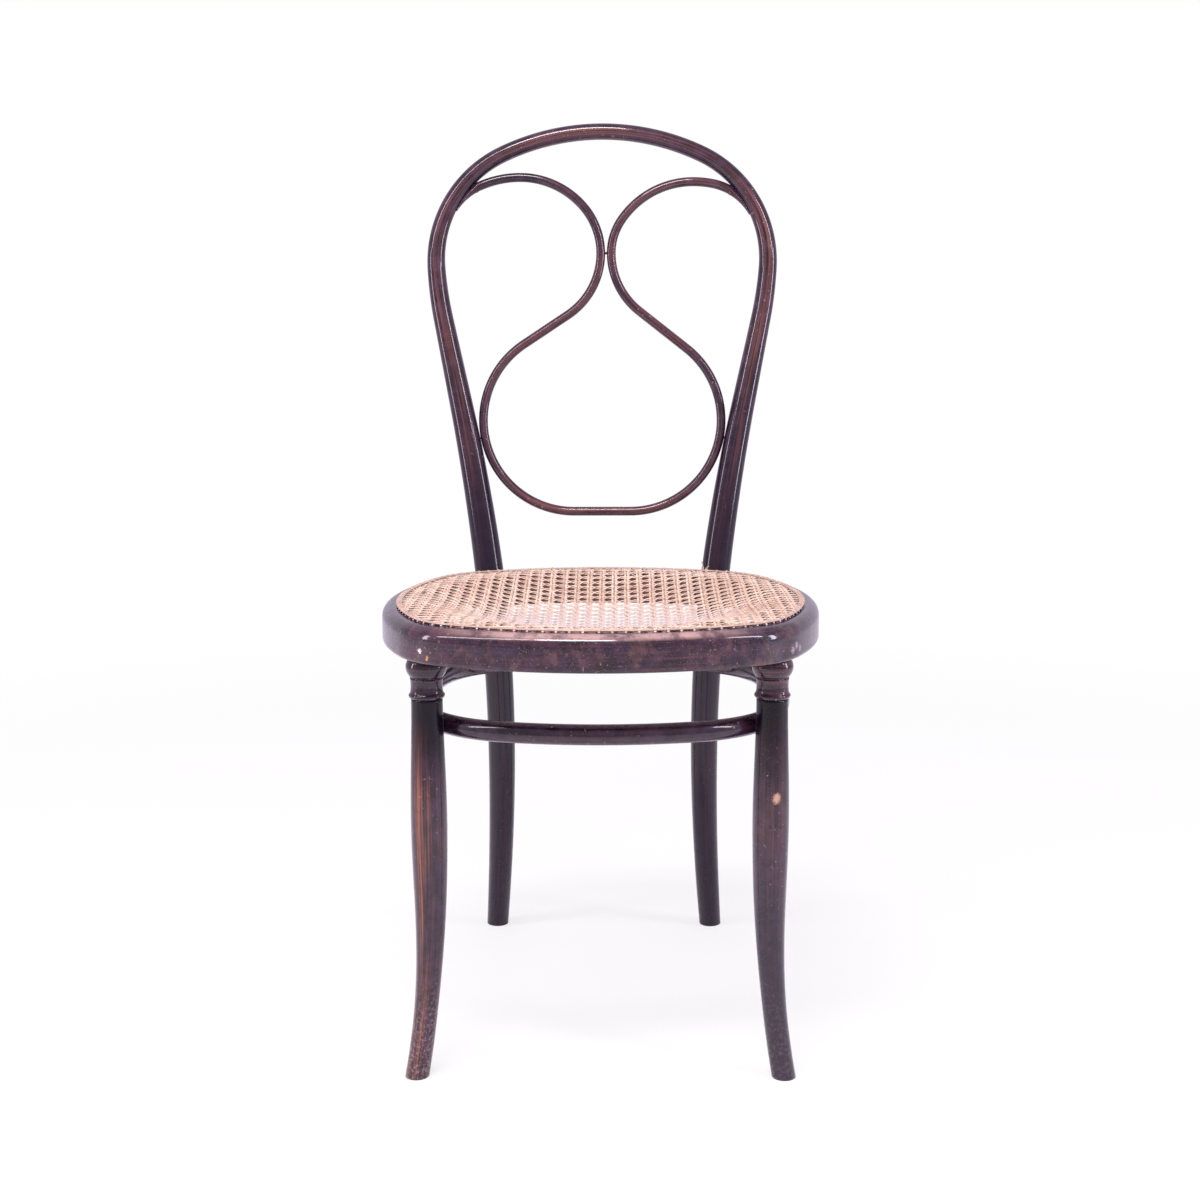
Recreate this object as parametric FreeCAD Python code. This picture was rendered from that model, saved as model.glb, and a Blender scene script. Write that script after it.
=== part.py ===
import FreeCAD, Part
import math
import os

# Bentwood bistro chair with a caned seat, in millimetres, +Z up, front towards -Y.
# Every piece is built about the seat's centre and moved at the end, so that the
# origin lies on the floor under the middle of the chair.

V = FreeCAD.Vector
UP = V(0, 0, 1)

# Seat ring: a strip of beech bent into a rounded oval
SEAT_TOP = 440.0
SEAT_HALF_WIDTH = 217.0
SEAT_HALF_DEPTH = 220.0
SEAT_CORNER_RADIUS = 95.0
SEAT_FULLNESS = 0.815
RING_HEIGHT = 34.0
RING_WIDTH = 40.0
RING_TOP_ROUND = 11.0
RING_INNER_ROUND = 5.0
RING_BOTTOM_ROUND = 3.0

# Cane: a row of drilled holes with pegs, the woven panel and the binder over its edge
CANE_HOLE_INSET = 17.0
CANE_HOLE_DIAMETER = 4.0
CANE_HOLE_PITCH = 13.0
PEG_LENGTH = 7.0
PANEL_THICKNESS = 1.6
PANEL_SAG = 31.0
PANEL_DISH_RADIUS = 178.0
NET_PITCH = 22.0
NET_STRAND = 6.0
BINDER_WIDTH = 6.0
BINDER_THICKNESS = 1.4

# Back hoop: one long rod that makes the back and both rear legs
BACK_LEAN = 5.74
HOOP_RISE = 485.0
HOOP_TOP_RADIUS = 258.8
HOOP_TOP_TURN = 25.3
HOOP_SHOULDER_RADIUS = 128.7
HOOP_SHOULDER_TURN = 68.4
HOOP_SIDE_RADIUS = 412.9
HOOP_SPLAY = 11.5
HOOP_STRAIGHT = 94.8
HOOP_WAIST_RADIUS = 2445.0
HOOP_TOP_DIAMETER = 17.7
HOOP_SEAT_DIAMETER = 31.8
HOOP_SWELL_START = 0.2
HOOP_SWELL_END = 1.15
REAR_FOOT_DIAMETER = 25.2
REAR_FOOT_SPREAD = 127.9
REAR_FOOT_SETBACK = 76.0
REAR_FOOT_SPLAY_BACK = 24.0
REAR_FOOT_SPLAY_OUT = 5.0
UPRIGHT_HOUSING = 6.0
STATION_PITCH = 30.0

# Back loop: a thin rod bent into two curls above one round bow
LOOP_DIAMETER = 10.0
BOW_HEIGHT = 166.8
BOW_RADIUS = 101.3
CURL_HEIGHT = 351.8
CURL_RADIUS = 81.5
CURL_RISE_RIGHT = ((64.0, 34.0), (96.0, 56.0))
CURL_RISE_LEFT = ((78.0, 40.0), (93.0, 50.0))
CURL_GAP = 1.7
CURL_SHIFT = 4.5
CURL_EASE_RADIUS = 112.0
CURL_END_RADIUS = 67.0
TAIL_TIP_THICKNESS = 0.8
TAIL_STATIONS = 9
TAIL_SCREW_SHARE = 0.12

# Front legs: turned, with a belly, an ankle and a foot that sweeps outwards
LEG_SPREAD = 161.0
LEG_INSET = 24.0
LEG_TOP_DIAMETER = 29.5
LEG_BELLY_DIAMETER = 34.5
LEG_BELLY_HEIGHT = 250.0
LEG_ANKLE_DIAMETER = 23.0
LEG_ANKLE_HEIGHT = 50.0
LEG_SWEEP_HEIGHT = 190.0
LEG_SWEEP_OUT = 14.5
LEG_SWEEP_FORWARD = 12.5
LEG_SWEEP_POWER = 2.3
LEG_STATIONS = 18
TENON_DIAMETER = 20.0
TENON_DEPTH = 20.0

# Capitals: turned collars between the front legs and the ring, as diameters and heights
CAPITAL_HEIGHT = 38.5
CAPITAL_TOP_DIAMETER = 32.0
CAPITAL_BULB_DIAMETER = 38.5
CAPITAL_BULB_HEIGHT = 28.5
CAPITAL_GROOVE_DIAMETER = 29.0
CAPITAL_GROOVE_HEIGHT = 19.5
CAPITAL_GROOVE_WIDTH = 1.4
CAPITAL_NECK_DIAMETER = 29.8
CAPITAL_BEAD_DIAMETER = 34.0
CAPITAL_BEAD_WIDTH = 5.0
CAPITAL_EDGE_DIAMETER = 31.0

# Leg ring: an oval hoop fixed inside the four legs
LEG_RING_HEIGHT = 338.5
LEG_RING_DIAMETER = 19.5
LEG_RING_HALF_WIDTH = 181.0
LEG_RING_CORNER_RADIUS = 110.0
LEG_RING_FULLNESS = 0.88
LEG_RING_HOUSING = 1.5

# Bolts through the uprights, with washers and nuts inside the ring
BOLT_DIAMETER = 6.5
BOLT_HEAD_DIAMETER = 14.0
BOLT_HEAD_HEIGHT = 3.6
BOLT_HEAD_SINK = 2.4
BOLT_TIP = 3.0
WASHER_DIAMETER = 17.0
WASHER_THICKNESS = 1.4
NUT_WIDTH = 12.0
NUT_HEIGHT = 5.0
SPOT_FACE = 1.0

# Screws: head diameter, head height, sink below the rod's surface, shank, bite
RING_SCREW = {"head": 8.4, "height": 2.2, "sink": 1.4, "shank": 4.2, "bite": 12.0}
LOOP_SCREW = {"head": 5.0, "height": 1.2, "sink": 1.2, "shank": 2.6, "bite": 8.0}
SLOT_WIDTH = 1.0
SLOT_DEPTH = 0.7
PIN_DIAMETER = 3.0
PIN_BITE = 3.0

# Clearances
HOLE_CLEARANCE = 0.15
SEAT_CLEARANCE = 0.15
ROD_CLEARANCE = 0.2

lean = math.radians(BACK_LEAN)
ring_bottom = SEAT_TOP - RING_HEIGHT
loop_radius = LOOP_DIAMETER / 2.0
back_frame = FreeCAD.Rotation(V(1, 0, 0), V(0, math.sin(lean), math.cos(lean)), V(), "XYZ")


def smoothstep(t):
    t = min(max(t, 0.0), 1.0)
    return t * t * (3.0 - 2.0 * t)


def cylinder(start, end, diameter):
    return Part.makeCylinder(diameter / 2.0, (end - start).Length, start, end - start)


def section(centre, axis, diameter, across):
    """A round wire square to axis, whose seam points along across."""
    return turned(Part.makeCircle(diameter / 2.0), centre, axis, across)


def turned(edge, centre, axis, across):
    wire = Part.Wire(edge)
    wire.Placement = FreeCAD.Placement(centre, FreeCAD.Rotation(across, V(), axis, "ZXY"))
    return wire


def rod(stations, across):
    """A smooth round rod through (centre, diameter) stations."""
    wires = []
    last = len(stations) - 1
    for i, (centre, diameter) in enumerate(stations):
        axis = stations[min(i + 1, last)][0] - stations[max(i - 1, 0)][0]
        wires.append(section(centre, axis, diameter, across))
    return Part.makeLoft(wires, True, False)


class Oval:
    """A rounded oval of eight tangent arcs: four long sides and four corners."""

    def __init__(self, half_width, half_depth, corner_radius, fullness, centre_y=0.0):
        free_x = half_width - corner_radius
        free_y = half_depth - corner_radius
        px = free_x * fullness
        py = free_y * fullness
        reach = px * px + py * py
        shift_x = (reach - free_x ** 2) / (2.0 * (free_x - px))
        shift_y = (reach - free_y ** 2) / (2.0 * (free_y - py))
        self.centre_y = centre_y
        low = math.atan2(py, px + shift_x)
        high = math.atan2(py + shift_y, px)
        self.quarters = [
            (-shift_x, 0.0, half_width + shift_x, -low, low),
            (px, py, corner_radius, low, high),
            (0.0, -shift_y, half_depth + shift_y, high, math.pi - high),
            (-px, py, corner_radius, math.pi - high, math.pi - low),
        ]

    def arcs(self, inset):
        """Centre, radius, first and last angle of each arc, in turn from the +X side."""
        found = []
        for turn, flip in ((0.0, 1.0), (math.pi, -1.0)):
            for x, y, radius, first, last in self.quarters:
                centre = V(flip * x, self.centre_y + flip * y, 0)
                found.append((centre, radius - inset, first + turn, last + turn))
        return found

    def wire(self, inset, z):
        edges = []
        for centre, radius, first, last in self.arcs(inset):
            circle = Part.Circle(centre + UP * z, UP, radius)
            edges.append(Part.Arc(circle, first, last).toShape())
        return Part.Wire(edges)

    def plate(self, inset, z, height):
        return Part.Face(self.wire(inset, z)).extrude(UP * height)

    def points(self, inset, pitch):
        """Evenly spaced places along the line at an inset."""
        arcs = self.arcs(inset)
        length = sum(radius * (last - first) for _, radius, first, last in arcs)
        count = max(8, round(length / pitch))
        found = []
        for i in range(count):
            run = length * (i + 0.5) / count
            for centre, radius, first, last in arcs:
                if run <= radius * (last - first):
                    angle = first + run / radius
                    found.append(centre + V(math.cos(angle), math.sin(angle), 0) * radius)
                    break
                run -= radius * (last - first)
        return found

    def nearest(self, point):
        """How far outside the line a place lies, and the level direction outwards."""
        best = None
        for centre, radius, first, last in self.arcs(0.0):
            away = V(point.x, point.y, 0) - centre
            angle = math.atan2(away.y, away.x)
            while angle < first:
                angle += 2.0 * math.pi
            if angle <= last:
                gap = away.Length - radius
                if best is None or abs(gap) < abs(best[0]):
                    best = (gap, away.normalize())
        return best

    def y_at(self, x, outside, side):
        """Y of the place at a given X that lies a given distance outside the line."""
        low, high = 0.0, 2.0 * SEAT_HALF_DEPTH
        for _ in range(50):
            middle = (low + high) / 2.0
            gap, _ = self.nearest(V(x, self.centre_y + side * middle, 0))
            if gap < outside:
                low = middle
            else:
                high = middle
        return self.centre_y + side * low


seat = Oval(SEAT_HALF_WIDTH, SEAT_HALF_DEPTH, SEAT_CORNER_RADIUS, SEAT_FULLNESS)


class HoopPlan:
    """Right half of the hoop's centre line in the back's plane, top centre to seat."""

    def __init__(self):
        self.places = [(0.0, HOOP_RISE)]
        self.heading = 0.0
        self.bend(HOOP_TOP_RADIUS, math.radians(HOOP_TOP_TURN))
        self.shoulder = self.centre(HOOP_SHOULDER_RADIUS)
        self.bend(HOOP_SHOULDER_RADIUS, math.radians(HOOP_SHOULDER_TURN))
        side_turn = 90.0 + HOOP_SPLAY - HOOP_TOP_TURN - HOOP_SHOULDER_TURN
        self.bend(HOOP_SIDE_RADIUS, math.radians(side_turn))
        self.straight(HOOP_STRAIGHT)
        self.waist = self.centre(-HOOP_WAIST_RADIUS)
        drop = self.places[-1][1]
        end = math.acos(math.cos(self.heading) + drop / HOOP_WAIST_RADIUS)
        self.bend(-HOOP_WAIST_RADIUS, end - self.heading)
        self.runs = [0.0]
        for (x0, y0), (x1, y1) in zip(self.places, self.places[1:]):
            self.runs.append(self.runs[-1] + math.hypot(x1 - x0, y1 - y0))

    def centre(self, radius):
        x, y = self.places[-1]
        return (x - radius * math.sin(self.heading), y - radius * math.cos(self.heading))

    def bend(self, radius, turn):
        """Follow an arc; radius and turn are negative where the rod bends back out."""
        x, y = self.centre(radius)
        count = max(2, round(abs(radius * turn) / STATION_PITCH))
        for i in range(1, count + 1):
            angle = self.heading + turn * i / count
            self.places.append((x + radius * math.sin(angle), y + radius * math.cos(angle)))
        self.heading += turn

    def straight(self, length):
        x, y = self.places[-1]
        count = max(2, round(length / STATION_PITCH))
        for i in range(1, count + 1):
            run = length * i / count
            self.places.append((x + run * math.cos(self.heading), y - run * math.sin(self.heading)))

    def diameter(self, run):
        """The rod keeps its top diameter for a while and then swells towards the seat."""
        span = HOOP_SWELL_END - HOOP_SWELL_START
        swell = smoothstep((run / self.runs[-1] - HOOP_SWELL_START) / span)
        full = smoothstep((1.0 - HOOP_SWELL_START) / span)
        return HOOP_TOP_DIAMETER + (HOOP_SEAT_DIAMETER - HOOP_TOP_DIAMETER) * swell / full

    def diameter_at_turn(self, turn):
        """Diameter on the shoulder, where the rod has turned so far from level."""
        top = math.radians(HOOP_TOP_TURN)
        return self.diameter(HOOP_TOP_RADIUS * top + HOOP_SHOULDER_RADIUS * (turn - top))


hoop_plan = HoopPlan()
upright_x = hoop_plan.places[-1][0]
upright_y = seat.y_at(upright_x, HOOP_SEAT_DIAMETER / 2.0 - UPRIGHT_HOUSING, 1.0)
back_place = FreeCAD.Placement(V(0, upright_y, SEAT_TOP), back_frame)


def on_back(x, y):
    return back_place.multVec(V(x, y, 0))


def rear_leg(share):
    """Centre and diameter of the right rear leg, from the seat (0) to the floor (1)."""
    start = on_back(upright_x, 0.0)
    foot = V(REAR_FOOT_SPREAD, upright_y + REAR_FOOT_SETBACK, 0)
    down = back_frame.multVec(V(math.cos(hoop_plan.heading), -math.sin(hoop_plan.heading), 0))
    out = math.tan(math.radians(REAR_FOOT_SPLAY_OUT))
    back = math.tan(math.radians(REAR_FOOT_SPLAY_BACK))
    end = V(out, back, -1)
    third = SEAT_TOP / 3.0
    poles = [start, start + down * (third / abs(down.z)), foot - end * third, foot]
    if share > 1.0:
        centre = foot + end * (SEAT_TOP * (share - 1.0))
    else:
        curve = Part.BezierCurve()
        curve.setPoles(poles)
        centre = curve.value(share)
    return centre, HOOP_SEAT_DIAMETER - (HOOP_SEAT_DIAMETER - REAR_FOOT_DIAMETER) * share ** 2


def hoop_stations():
    """Stations of the right half, from the top centre to just below the floor."""
    stations = []
    for (x, y), run in zip(hoop_plan.places, hoop_plan.runs):
        stations.append((on_back(x, y), hoop_plan.diameter(run)))
    count = max(6, round(SEAT_TOP / STATION_PITCH))
    overrun = REAR_FOOT_DIAMETER / SEAT_TOP
    for i in range(1, count + 1):
        stations.append(rear_leg(i / count))
    stations.append(rear_leg(1.0 + overrun))
    return stations


def mirrored(shape):
    return shape.mirror(V(0, 0, 0), V(1, 0, 0))


def flip(point):
    return V(-point.x, point.y, point.z)


def make_hoop():
    """The right half is drawn past the middle, trimmed there and mirrored."""
    right = hoop_stations()
    overlap = [(flip(centre), diameter) for centre, diameter in right[3:0:-1]]
    half = rod(overlap + right, back_frame.multVec(UP))
    below = Part.makeBox(1000, 1000, 200, V(-500, -500, -200))
    beyond = Part.makeBox(500, 1000, 2000, V(-500, -500, -200))
    half = half.cut([below, beyond])
    return half.fuse(mirrored(half))


def upright_cutter(clearance):
    """The right upright as it passes the ring, fattened by a clearance."""
    band = [(c, d + 2.0 * clearance) for c, d in hoop_stations() if abs(c.z - ring_bottom) < 3 * STATION_PITCH]
    return rod(band, back_frame.multVec(UP))


class LoopSide:
    """One side of the back loop in the back's plane, drawn on the +X side."""

    def __init__(self, shift, rise):
        inner = loop_radius + CURL_GAP / 2.0 + shift
        self.curl = (CURL_RADIUS + inner, CURL_HEIGHT)
        self.bow = (self.bow_offset(), BOW_HEIGHT)
        self.rise = []
        angle = math.pi
        x, y = inner, CURL_HEIGHT
        for radius, turn in rise:
            centre = (x - radius * math.cos(angle), y - radius * math.sin(angle))
            next_angle = angle - math.radians(turn)
            self.rise.append((centre, radius, next_angle, angle))
            x = centre[0] + radius * math.cos(next_angle)
            y = centre[1] + radius * math.sin(next_angle)
            angle = next_angle
        self.ease = (x, y - CURL_EASE_RADIUS)
        self.find_end()
        away = (self.bow[0] - self.curl[0], self.bow[1] - self.curl[1])
        spread = math.acos((CURL_RADIUS + BOW_RADIUS) / math.hypot(*away))
        self.leave = math.atan2(away[1], away[0]) % (2.0 * math.pi) - spread

    def bow_offset(self):
        """Place the bow so that it just clears the upright beside it."""
        waist_x, waist_y = hoop_plan.waist
        rise = BOW_HEIGHT - waist_y
        contact = BOW_HEIGHT
        for _ in range(6):
            run = hoop_plan.runs[-1] - contact
            reach = HOOP_WAIST_RADIUS + hoop_plan.diameter(run) / 2.0
            reach += ROD_CLEARANCE + loop_radius + BOW_RADIUS
            contact = BOW_HEIGHT - (BOW_RADIUS + loop_radius) * rise / reach
        self.contact_angle = -math.asin(rise / reach)
        return waist_x - math.sqrt(reach ** 2 - rise ** 2)

    def find_end(self):
        """Turn the end bend so that its inner edge runs out along the hoop's inside."""
        shoulder_x, shoulder_y = hoop_plan.shoulder
        span = CURL_EASE_RADIUS - CURL_END_RADIUS
        inner = CURL_END_RADIUS - loop_radius
        dx = self.ease[0] - shoulder_x
        dy = self.ease[1] - shoulder_y
        self.merge = math.radians(HOOP_TOP_TURN)
        for _ in range(12):
            level = ((hoop_inside(self.merge) - inner) ** 2 - dx * dx - dy * dy - span * span) / (2.0 * span)
            self.turn = math.atan2(dx, dy) - math.acos(level / math.hypot(dx, dy))
            self.end = (
                self.ease[0] + span * math.sin(self.turn),
                self.ease[1] + span * math.cos(self.turn),
            )
            self.merge = math.atan2(self.end[0] - shoulder_x, self.end[1] - shoulder_y)
        self.meet = self.angle_at(LOOP_DIAMETER)
        self.tip = self.angle_at(TAIL_TIP_THICKNESS)

    def thickness(self, angle):
        """Room between the end bend's inner edge and the hoop's inside."""
        inner = CURL_END_RADIUS - loop_radius
        x = self.end[0] + inner * math.sin(angle) - hoop_plan.shoulder[0]
        y = self.end[1] + inner * math.cos(angle) - hoop_plan.shoulder[1]
        along = x * math.sin(angle) + y * math.cos(angle)
        reach = hoop_inside(math.atan2(x, y))
        return math.sqrt(along ** 2 + reach ** 2 - x * x - y * y) - along

    def angle_at(self, thickness):
        low, high = self.turn, self.merge
        for _ in range(40):
            middle = (low + high) / 2.0
            if self.thickness(middle) > thickness:
                low = middle
            else:
                high = middle
        return low

    def edges(self):
        """The rod's even part, from the end bend to the bow's lowest point."""
        down = math.pi / 2.0
        bow_start = self.leave - math.pi
        parts = [
            (self.end, CURL_END_RADIUS, down - self.meet, down - self.turn),
            (self.ease, CURL_EASE_RADIUS, down - self.turn, down),
            *self.rise[::-1],
            (self.curl, CURL_RADIUS, math.pi, self.leave),
            (self.bow, BOW_RADIUS, -down, bow_start),
        ]
        found = []
        for (x, y), radius, first, last in parts:
            found.append(Part.Arc(Part.Circle(V(x, y, 0), UP, radius), first, last).toShape())
        ray = V(math.cos(self.leave), math.sin(self.leave), 0)
        start = V(self.curl[0], self.curl[1], 0) + ray * CURL_RADIUS
        end = V(self.bow[0], self.bow[1], 0) - ray * BOW_RADIUS
        found.insert(-1, Part.LineSegment(start, end).toShape())
        return found

    def tail_place(self, share):
        """Centre, thickness and angle along the tail, which is cut away to fit the hoop."""
        angle = self.meet + share * (self.tip - self.meet)
        thickness = self.thickness(angle)
        reach = CURL_END_RADIUS - loop_radius + thickness / 2.0
        centre = V(self.end[0] + reach * math.sin(angle), self.end[1] + reach * math.cos(angle), 0)
        return centre, thickness, angle

    def tail(self):
        """Oval sections that thin out along the hoop and narrow to half the width."""
        wires = []
        for i in range(TAIL_STATIONS):
            centre, thickness, angle = self.tail_place(i / (TAIL_STATIONS - 1.0))
            width = max((LOOP_DIAMETER + thickness) / 2.0, thickness)
            oval = Part.Ellipse(V(), width / 2.0, thickness / 2.0).toShape()
            wires.append(turned(oval, centre, V(math.cos(angle), -math.sin(angle), 0), UP))
        return Part.makeLoft(wires, True, False)


def hoop_inside(turn):
    """Distance from the shoulder's centre to the hoop's inside, less a clearance."""
    return HOOP_SHOULDER_RADIUS - hoop_plan.diameter_at_turn(turn) / 2.0 - ROD_CLEARANCE


loop_right = LoopSide(CURL_SHIFT, CURL_RISE_RIGHT)
loop_left = LoopSide(-CURL_SHIFT, CURL_RISE_LEFT)


def make_loop():
    """The whole loop rod, swept in the back's plane and set in place."""
    right = loop_right.edges()
    left = [mirrored(edge) for edge in loop_left.edges()]
    low_right = V(loop_right.bow[0], BOW_HEIGHT - BOW_RADIUS, 0)
    low_left = V(-loop_left.bow[0], BOW_HEIGHT - BOW_RADIUS, 0)
    bottom = Part.LineSegment(low_left, low_right).toShape()
    path = Part.Wire(Part.__sortEdges__(right + [bottom] + left))
    start = loop_right.tail_place(0.0)[0]
    first = V(math.cos(loop_right.meet), -math.sin(loop_right.meet), 0)
    profile = section(start, first, LOOP_DIAMETER, UP)
    body = path.makePipeShell([profile], True, False)
    loop = body.fuse([loop_right.tail(), mirrored(loop_left.tail())])
    loop.Placement = back_place
    return loop


def leg_sweep(z):
    return max(0.0, 1.0 - z / LEG_SWEEP_HEIGHT) ** LEG_SWEEP_POWER


leg_top = ring_bottom - CAPITAL_HEIGHT
leg_y = seat.y_at(LEG_SPREAD, -LEG_INSET, -1.0)


def front_leg(z):
    """Centre and diameter of the right front leg at a height."""
    sweep = leg_sweep(z)
    centre = V(LEG_SPREAD + LEG_SWEEP_OUT * sweep, leg_y - LEG_SWEEP_FORWARD * sweep, z)
    if z > LEG_BELLY_HEIGHT:
        share = smoothstep((z - LEG_BELLY_HEIGHT) / (leg_top - LEG_BELLY_HEIGHT))
        return centre, LEG_BELLY_DIAMETER + (LEG_TOP_DIAMETER - LEG_BELLY_DIAMETER) * share
    share = smoothstep((LEG_BELLY_HEIGHT - z) / (LEG_BELLY_HEIGHT - LEG_ANKLE_HEIGHT))
    return centre, LEG_BELLY_DIAMETER + (LEG_ANKLE_DIAMETER - LEG_BELLY_DIAMETER) * share


def make_front_leg():
    wires = []
    for i in range(LEG_STATIONS):
        centre, diameter = front_leg(leg_top * i / (LEG_STATIONS - 1.0))
        wires.append(section(centre, UP, diameter, V(1, 0, 0)))
    shaft = Part.makeLoft(wires, True, False)
    top = front_leg(leg_top)[0]
    tenon = cylinder(top - UP * TENON_DEPTH, tenon_top(), TENON_DIAMETER)
    return shaft.fuse(tenon)


def tenon_top():
    return V(LEG_SPREAD, leg_y, ring_bottom + TENON_DEPTH - SEAT_CLEARANCE)


def make_capital():
    """A turned collar: bead, hollow neck, groove and bulb, bored for the tenon."""
    edge = CAPITAL_EDGE_DIAMETER / 2.0
    groove_low = CAPITAL_GROOVE_HEIGHT - CAPITAL_GROOVE_WIDTH / 2.0
    groove_high = CAPITAL_GROOVE_HEIGHT + CAPITAL_GROOVE_WIDTH / 2.0
    neck_middle = (CAPITAL_BEAD_WIDTH + groove_low) / 2.0
    bore = TENON_DIAMETER / 2.0 + SEAT_CLEARANCE

    def at(diameter, height):
        return V(diameter / 2.0, 0, leg_top + height)

    foot = V(edge, 0, leg_top)
    bead_end = V(edge, 0, leg_top + CAPITAL_BEAD_WIDTH)
    neck_end = V(edge, 0, leg_top + groove_low)
    bulb_start = V(edge, 0, leg_top + groove_high)
    top = at(CAPITAL_TOP_DIAMETER, CAPITAL_HEIGHT)
    inner_low = V(bore, 0, leg_top)
    inner_high = V(bore, 0, leg_top + CAPITAL_HEIGHT)
    curves = [
        Part.Arc(foot, at(CAPITAL_BEAD_DIAMETER, CAPITAL_BEAD_WIDTH / 2.0), bead_end),
        Part.Arc(bead_end, at(CAPITAL_NECK_DIAMETER, neck_middle), neck_end),
        Part.LineSegment(neck_end, at(CAPITAL_GROOVE_DIAMETER, groove_low)),
        Part.LineSegment(at(CAPITAL_GROOVE_DIAMETER, groove_low), at(CAPITAL_GROOVE_DIAMETER, groove_high)),
        Part.LineSegment(at(CAPITAL_GROOVE_DIAMETER, groove_high), bulb_start),
        Part.Arc(bulb_start, at(CAPITAL_BULB_DIAMETER, CAPITAL_BULB_HEIGHT), top),
        Part.LineSegment(top, inner_high),
        Part.LineSegment(inner_high, inner_low),
        Part.LineSegment(inner_low, foot),
    ]
    face = Part.Face(Part.Wire([curve.toShape() for curve in curves]))
    solid = face.revolve(V(0, 0, 0), UP, 360)
    solid.translate(V(LEG_SPREAD, leg_y, 0))
    return solid


def fit_leg_ring():
    """Choose the ring's depth and centre so that it beds in the front and rear legs."""
    front, front_diameter = front_leg(LEG_RING_HEIGHT)
    rear, rear_diameter = rear_leg(1.0 - LEG_RING_HEIGHT / SEAT_TOP)
    reach = LEG_RING_DIAMETER / 2.0 - LEG_RING_HOUSING
    depth = SEAT_HALF_DEPTH
    centre_y = (front.y + rear.y) / 2.0
    for _ in range(80):
        ring = Oval(LEG_RING_HALF_WIDTH, depth, LEG_RING_CORNER_RADIUS, LEG_RING_FULLNESS, centre_y)
        front_gap = ring.nearest(front)[0] - front_diameter / 2.0 - reach
        rear_gap = ring.nearest(rear)[0] - rear_diameter / 2.0 - reach
        depth += (front_gap + rear_gap) / 2.0
        centre_y += (rear_gap - front_gap) / 2.0
    return ring


leg_ring = fit_leg_ring()


def make_leg_ring():
    path = leg_ring.wire(0.0, LEG_RING_HEIGHT)
    start = path.Edges[0]
    first = start.valueAt(start.FirstParameter)
    axis = start.tangentAt(start.FirstParameter)
    return path.makePipeShell([section(first, axis, LEG_RING_DIAMETER, UP)], True, False)


def ring_saddle(leg):
    """A straight round channel along the leg ring where it meets a leg centre."""
    gap, outward = leg_ring.nearest(leg)
    middle = V(leg.x, leg.y, LEG_RING_HEIGHT) - outward * gap
    along = outward.cross(UP) * HOOP_SEAT_DIAMETER
    return cylinder(middle - along, middle + along, LEG_RING_DIAMETER + 2.0 * SEAT_CLEARANCE)


def headed(seat_point, axis, shank, length, head, height):
    """A round-headed fastener with a slot; its head sits on seat_point, axis goes in."""
    rim = head / 2.0
    side = V(rim, 0, -height * 0.35)
    crown = V(0, 0, -height)
    shoulder = V(rim * 0.72, 0, -height * 0.86)
    curves = [
        Part.LineSegment(V(0, 0, length), V(0, 0, -height)),
        Part.Arc(crown, shoulder, side),
        Part.LineSegment(side, V(rim, 0, 0)),
        Part.LineSegment(V(rim, 0, 0), V(shank / 2.0, 0, 0)),
        Part.LineSegment(V(shank / 2.0, 0, 0), V(shank / 2.0, 0, length)),
        Part.LineSegment(V(shank / 2.0, 0, length), V(0, 0, length)),
    ]
    solid = Part.Face(Part.Wire([curve.toShape() for curve in curves])).revolve(V(0, 0, 0), UP, 360)
    slot = Part.makeBox(head * 1.2, SLOT_WIDTH, height, V(-head * 0.6, -SLOT_WIDTH / 2.0, SLOT_DEPTH - 2.0 * height))
    solid = solid.cut(slot)
    solid.Placement = FreeCAD.Placement(seat_point, FreeCAD.Rotation(UP, axis))
    return solid


def head_hole(seat_point, axis, head):
    return cylinder(seat_point, seat_point - axis * (2.0 * head), head + 2.0 * HOLE_CLEARANCE)


def shank_hole(seat_point, axis, shank, length):
    start = seat_point - axis * shank
    return cylinder(start, seat_point + axis * (length + HOLE_CLEARANCE), shank + 2.0 * HOLE_CLEARANCE)


def fixing(surface, axis, sizes, through):
    """A screw let into a rod at a surface point: its solid and its two holes."""
    seat_point = surface + axis * sizes["sink"]
    length = through - sizes["sink"] + sizes["bite"]
    screw = headed(seat_point, axis, sizes["shank"], length, sizes["head"], sizes["height"])
    recess = head_hole(seat_point, axis, sizes["head"])
    drill = shank_hole(seat_point, axis, sizes["shank"], length)
    return screw, recess, drill


def ring_fixing(leg):
    """The screw that holds the leg ring to a leg, driven from inside the ring."""
    gap, outward = leg_ring.nearest(leg)
    middle = V(leg.x, leg.y, LEG_RING_HEIGHT) - outward * gap
    inner = middle - outward * (LEG_RING_DIAMETER / 2.0)
    return fixing(inner, outward, RING_SCREW, LEG_RING_DIAMETER)


def bow_fixing(side):
    """The screw through the bow into the upright beside it."""
    ray = V(math.cos(side.contact_angle), math.sin(side.contact_angle), 0)
    inner = V(side.bow[0], side.bow[1], 0) + ray * (BOW_RADIUS - loop_radius)
    return fixing(inner, ray, LOOP_SCREW, LOOP_DIAMETER)


def tail_fixing(side):
    """The screw through the thick end of the tail into the hoop."""
    centre, thickness, angle = side.tail_place(TAIL_SCREW_SHARE)
    ray = V(math.sin(angle), math.cos(angle), 0)
    return fixing(centre - ray * (thickness / 2.0), ray, LOOP_SCREW, thickness)


def bolt_line():
    """Centre of the right upright at the ring's middle, and the way into the seat."""
    height = SEAT_TOP - RING_HEIGHT / 2.0
    centre, diameter = rear_leg(1.0 - height / SEAT_TOP)
    return centre, diameter, seat.nearest(centre)[1] * -1.0


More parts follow.
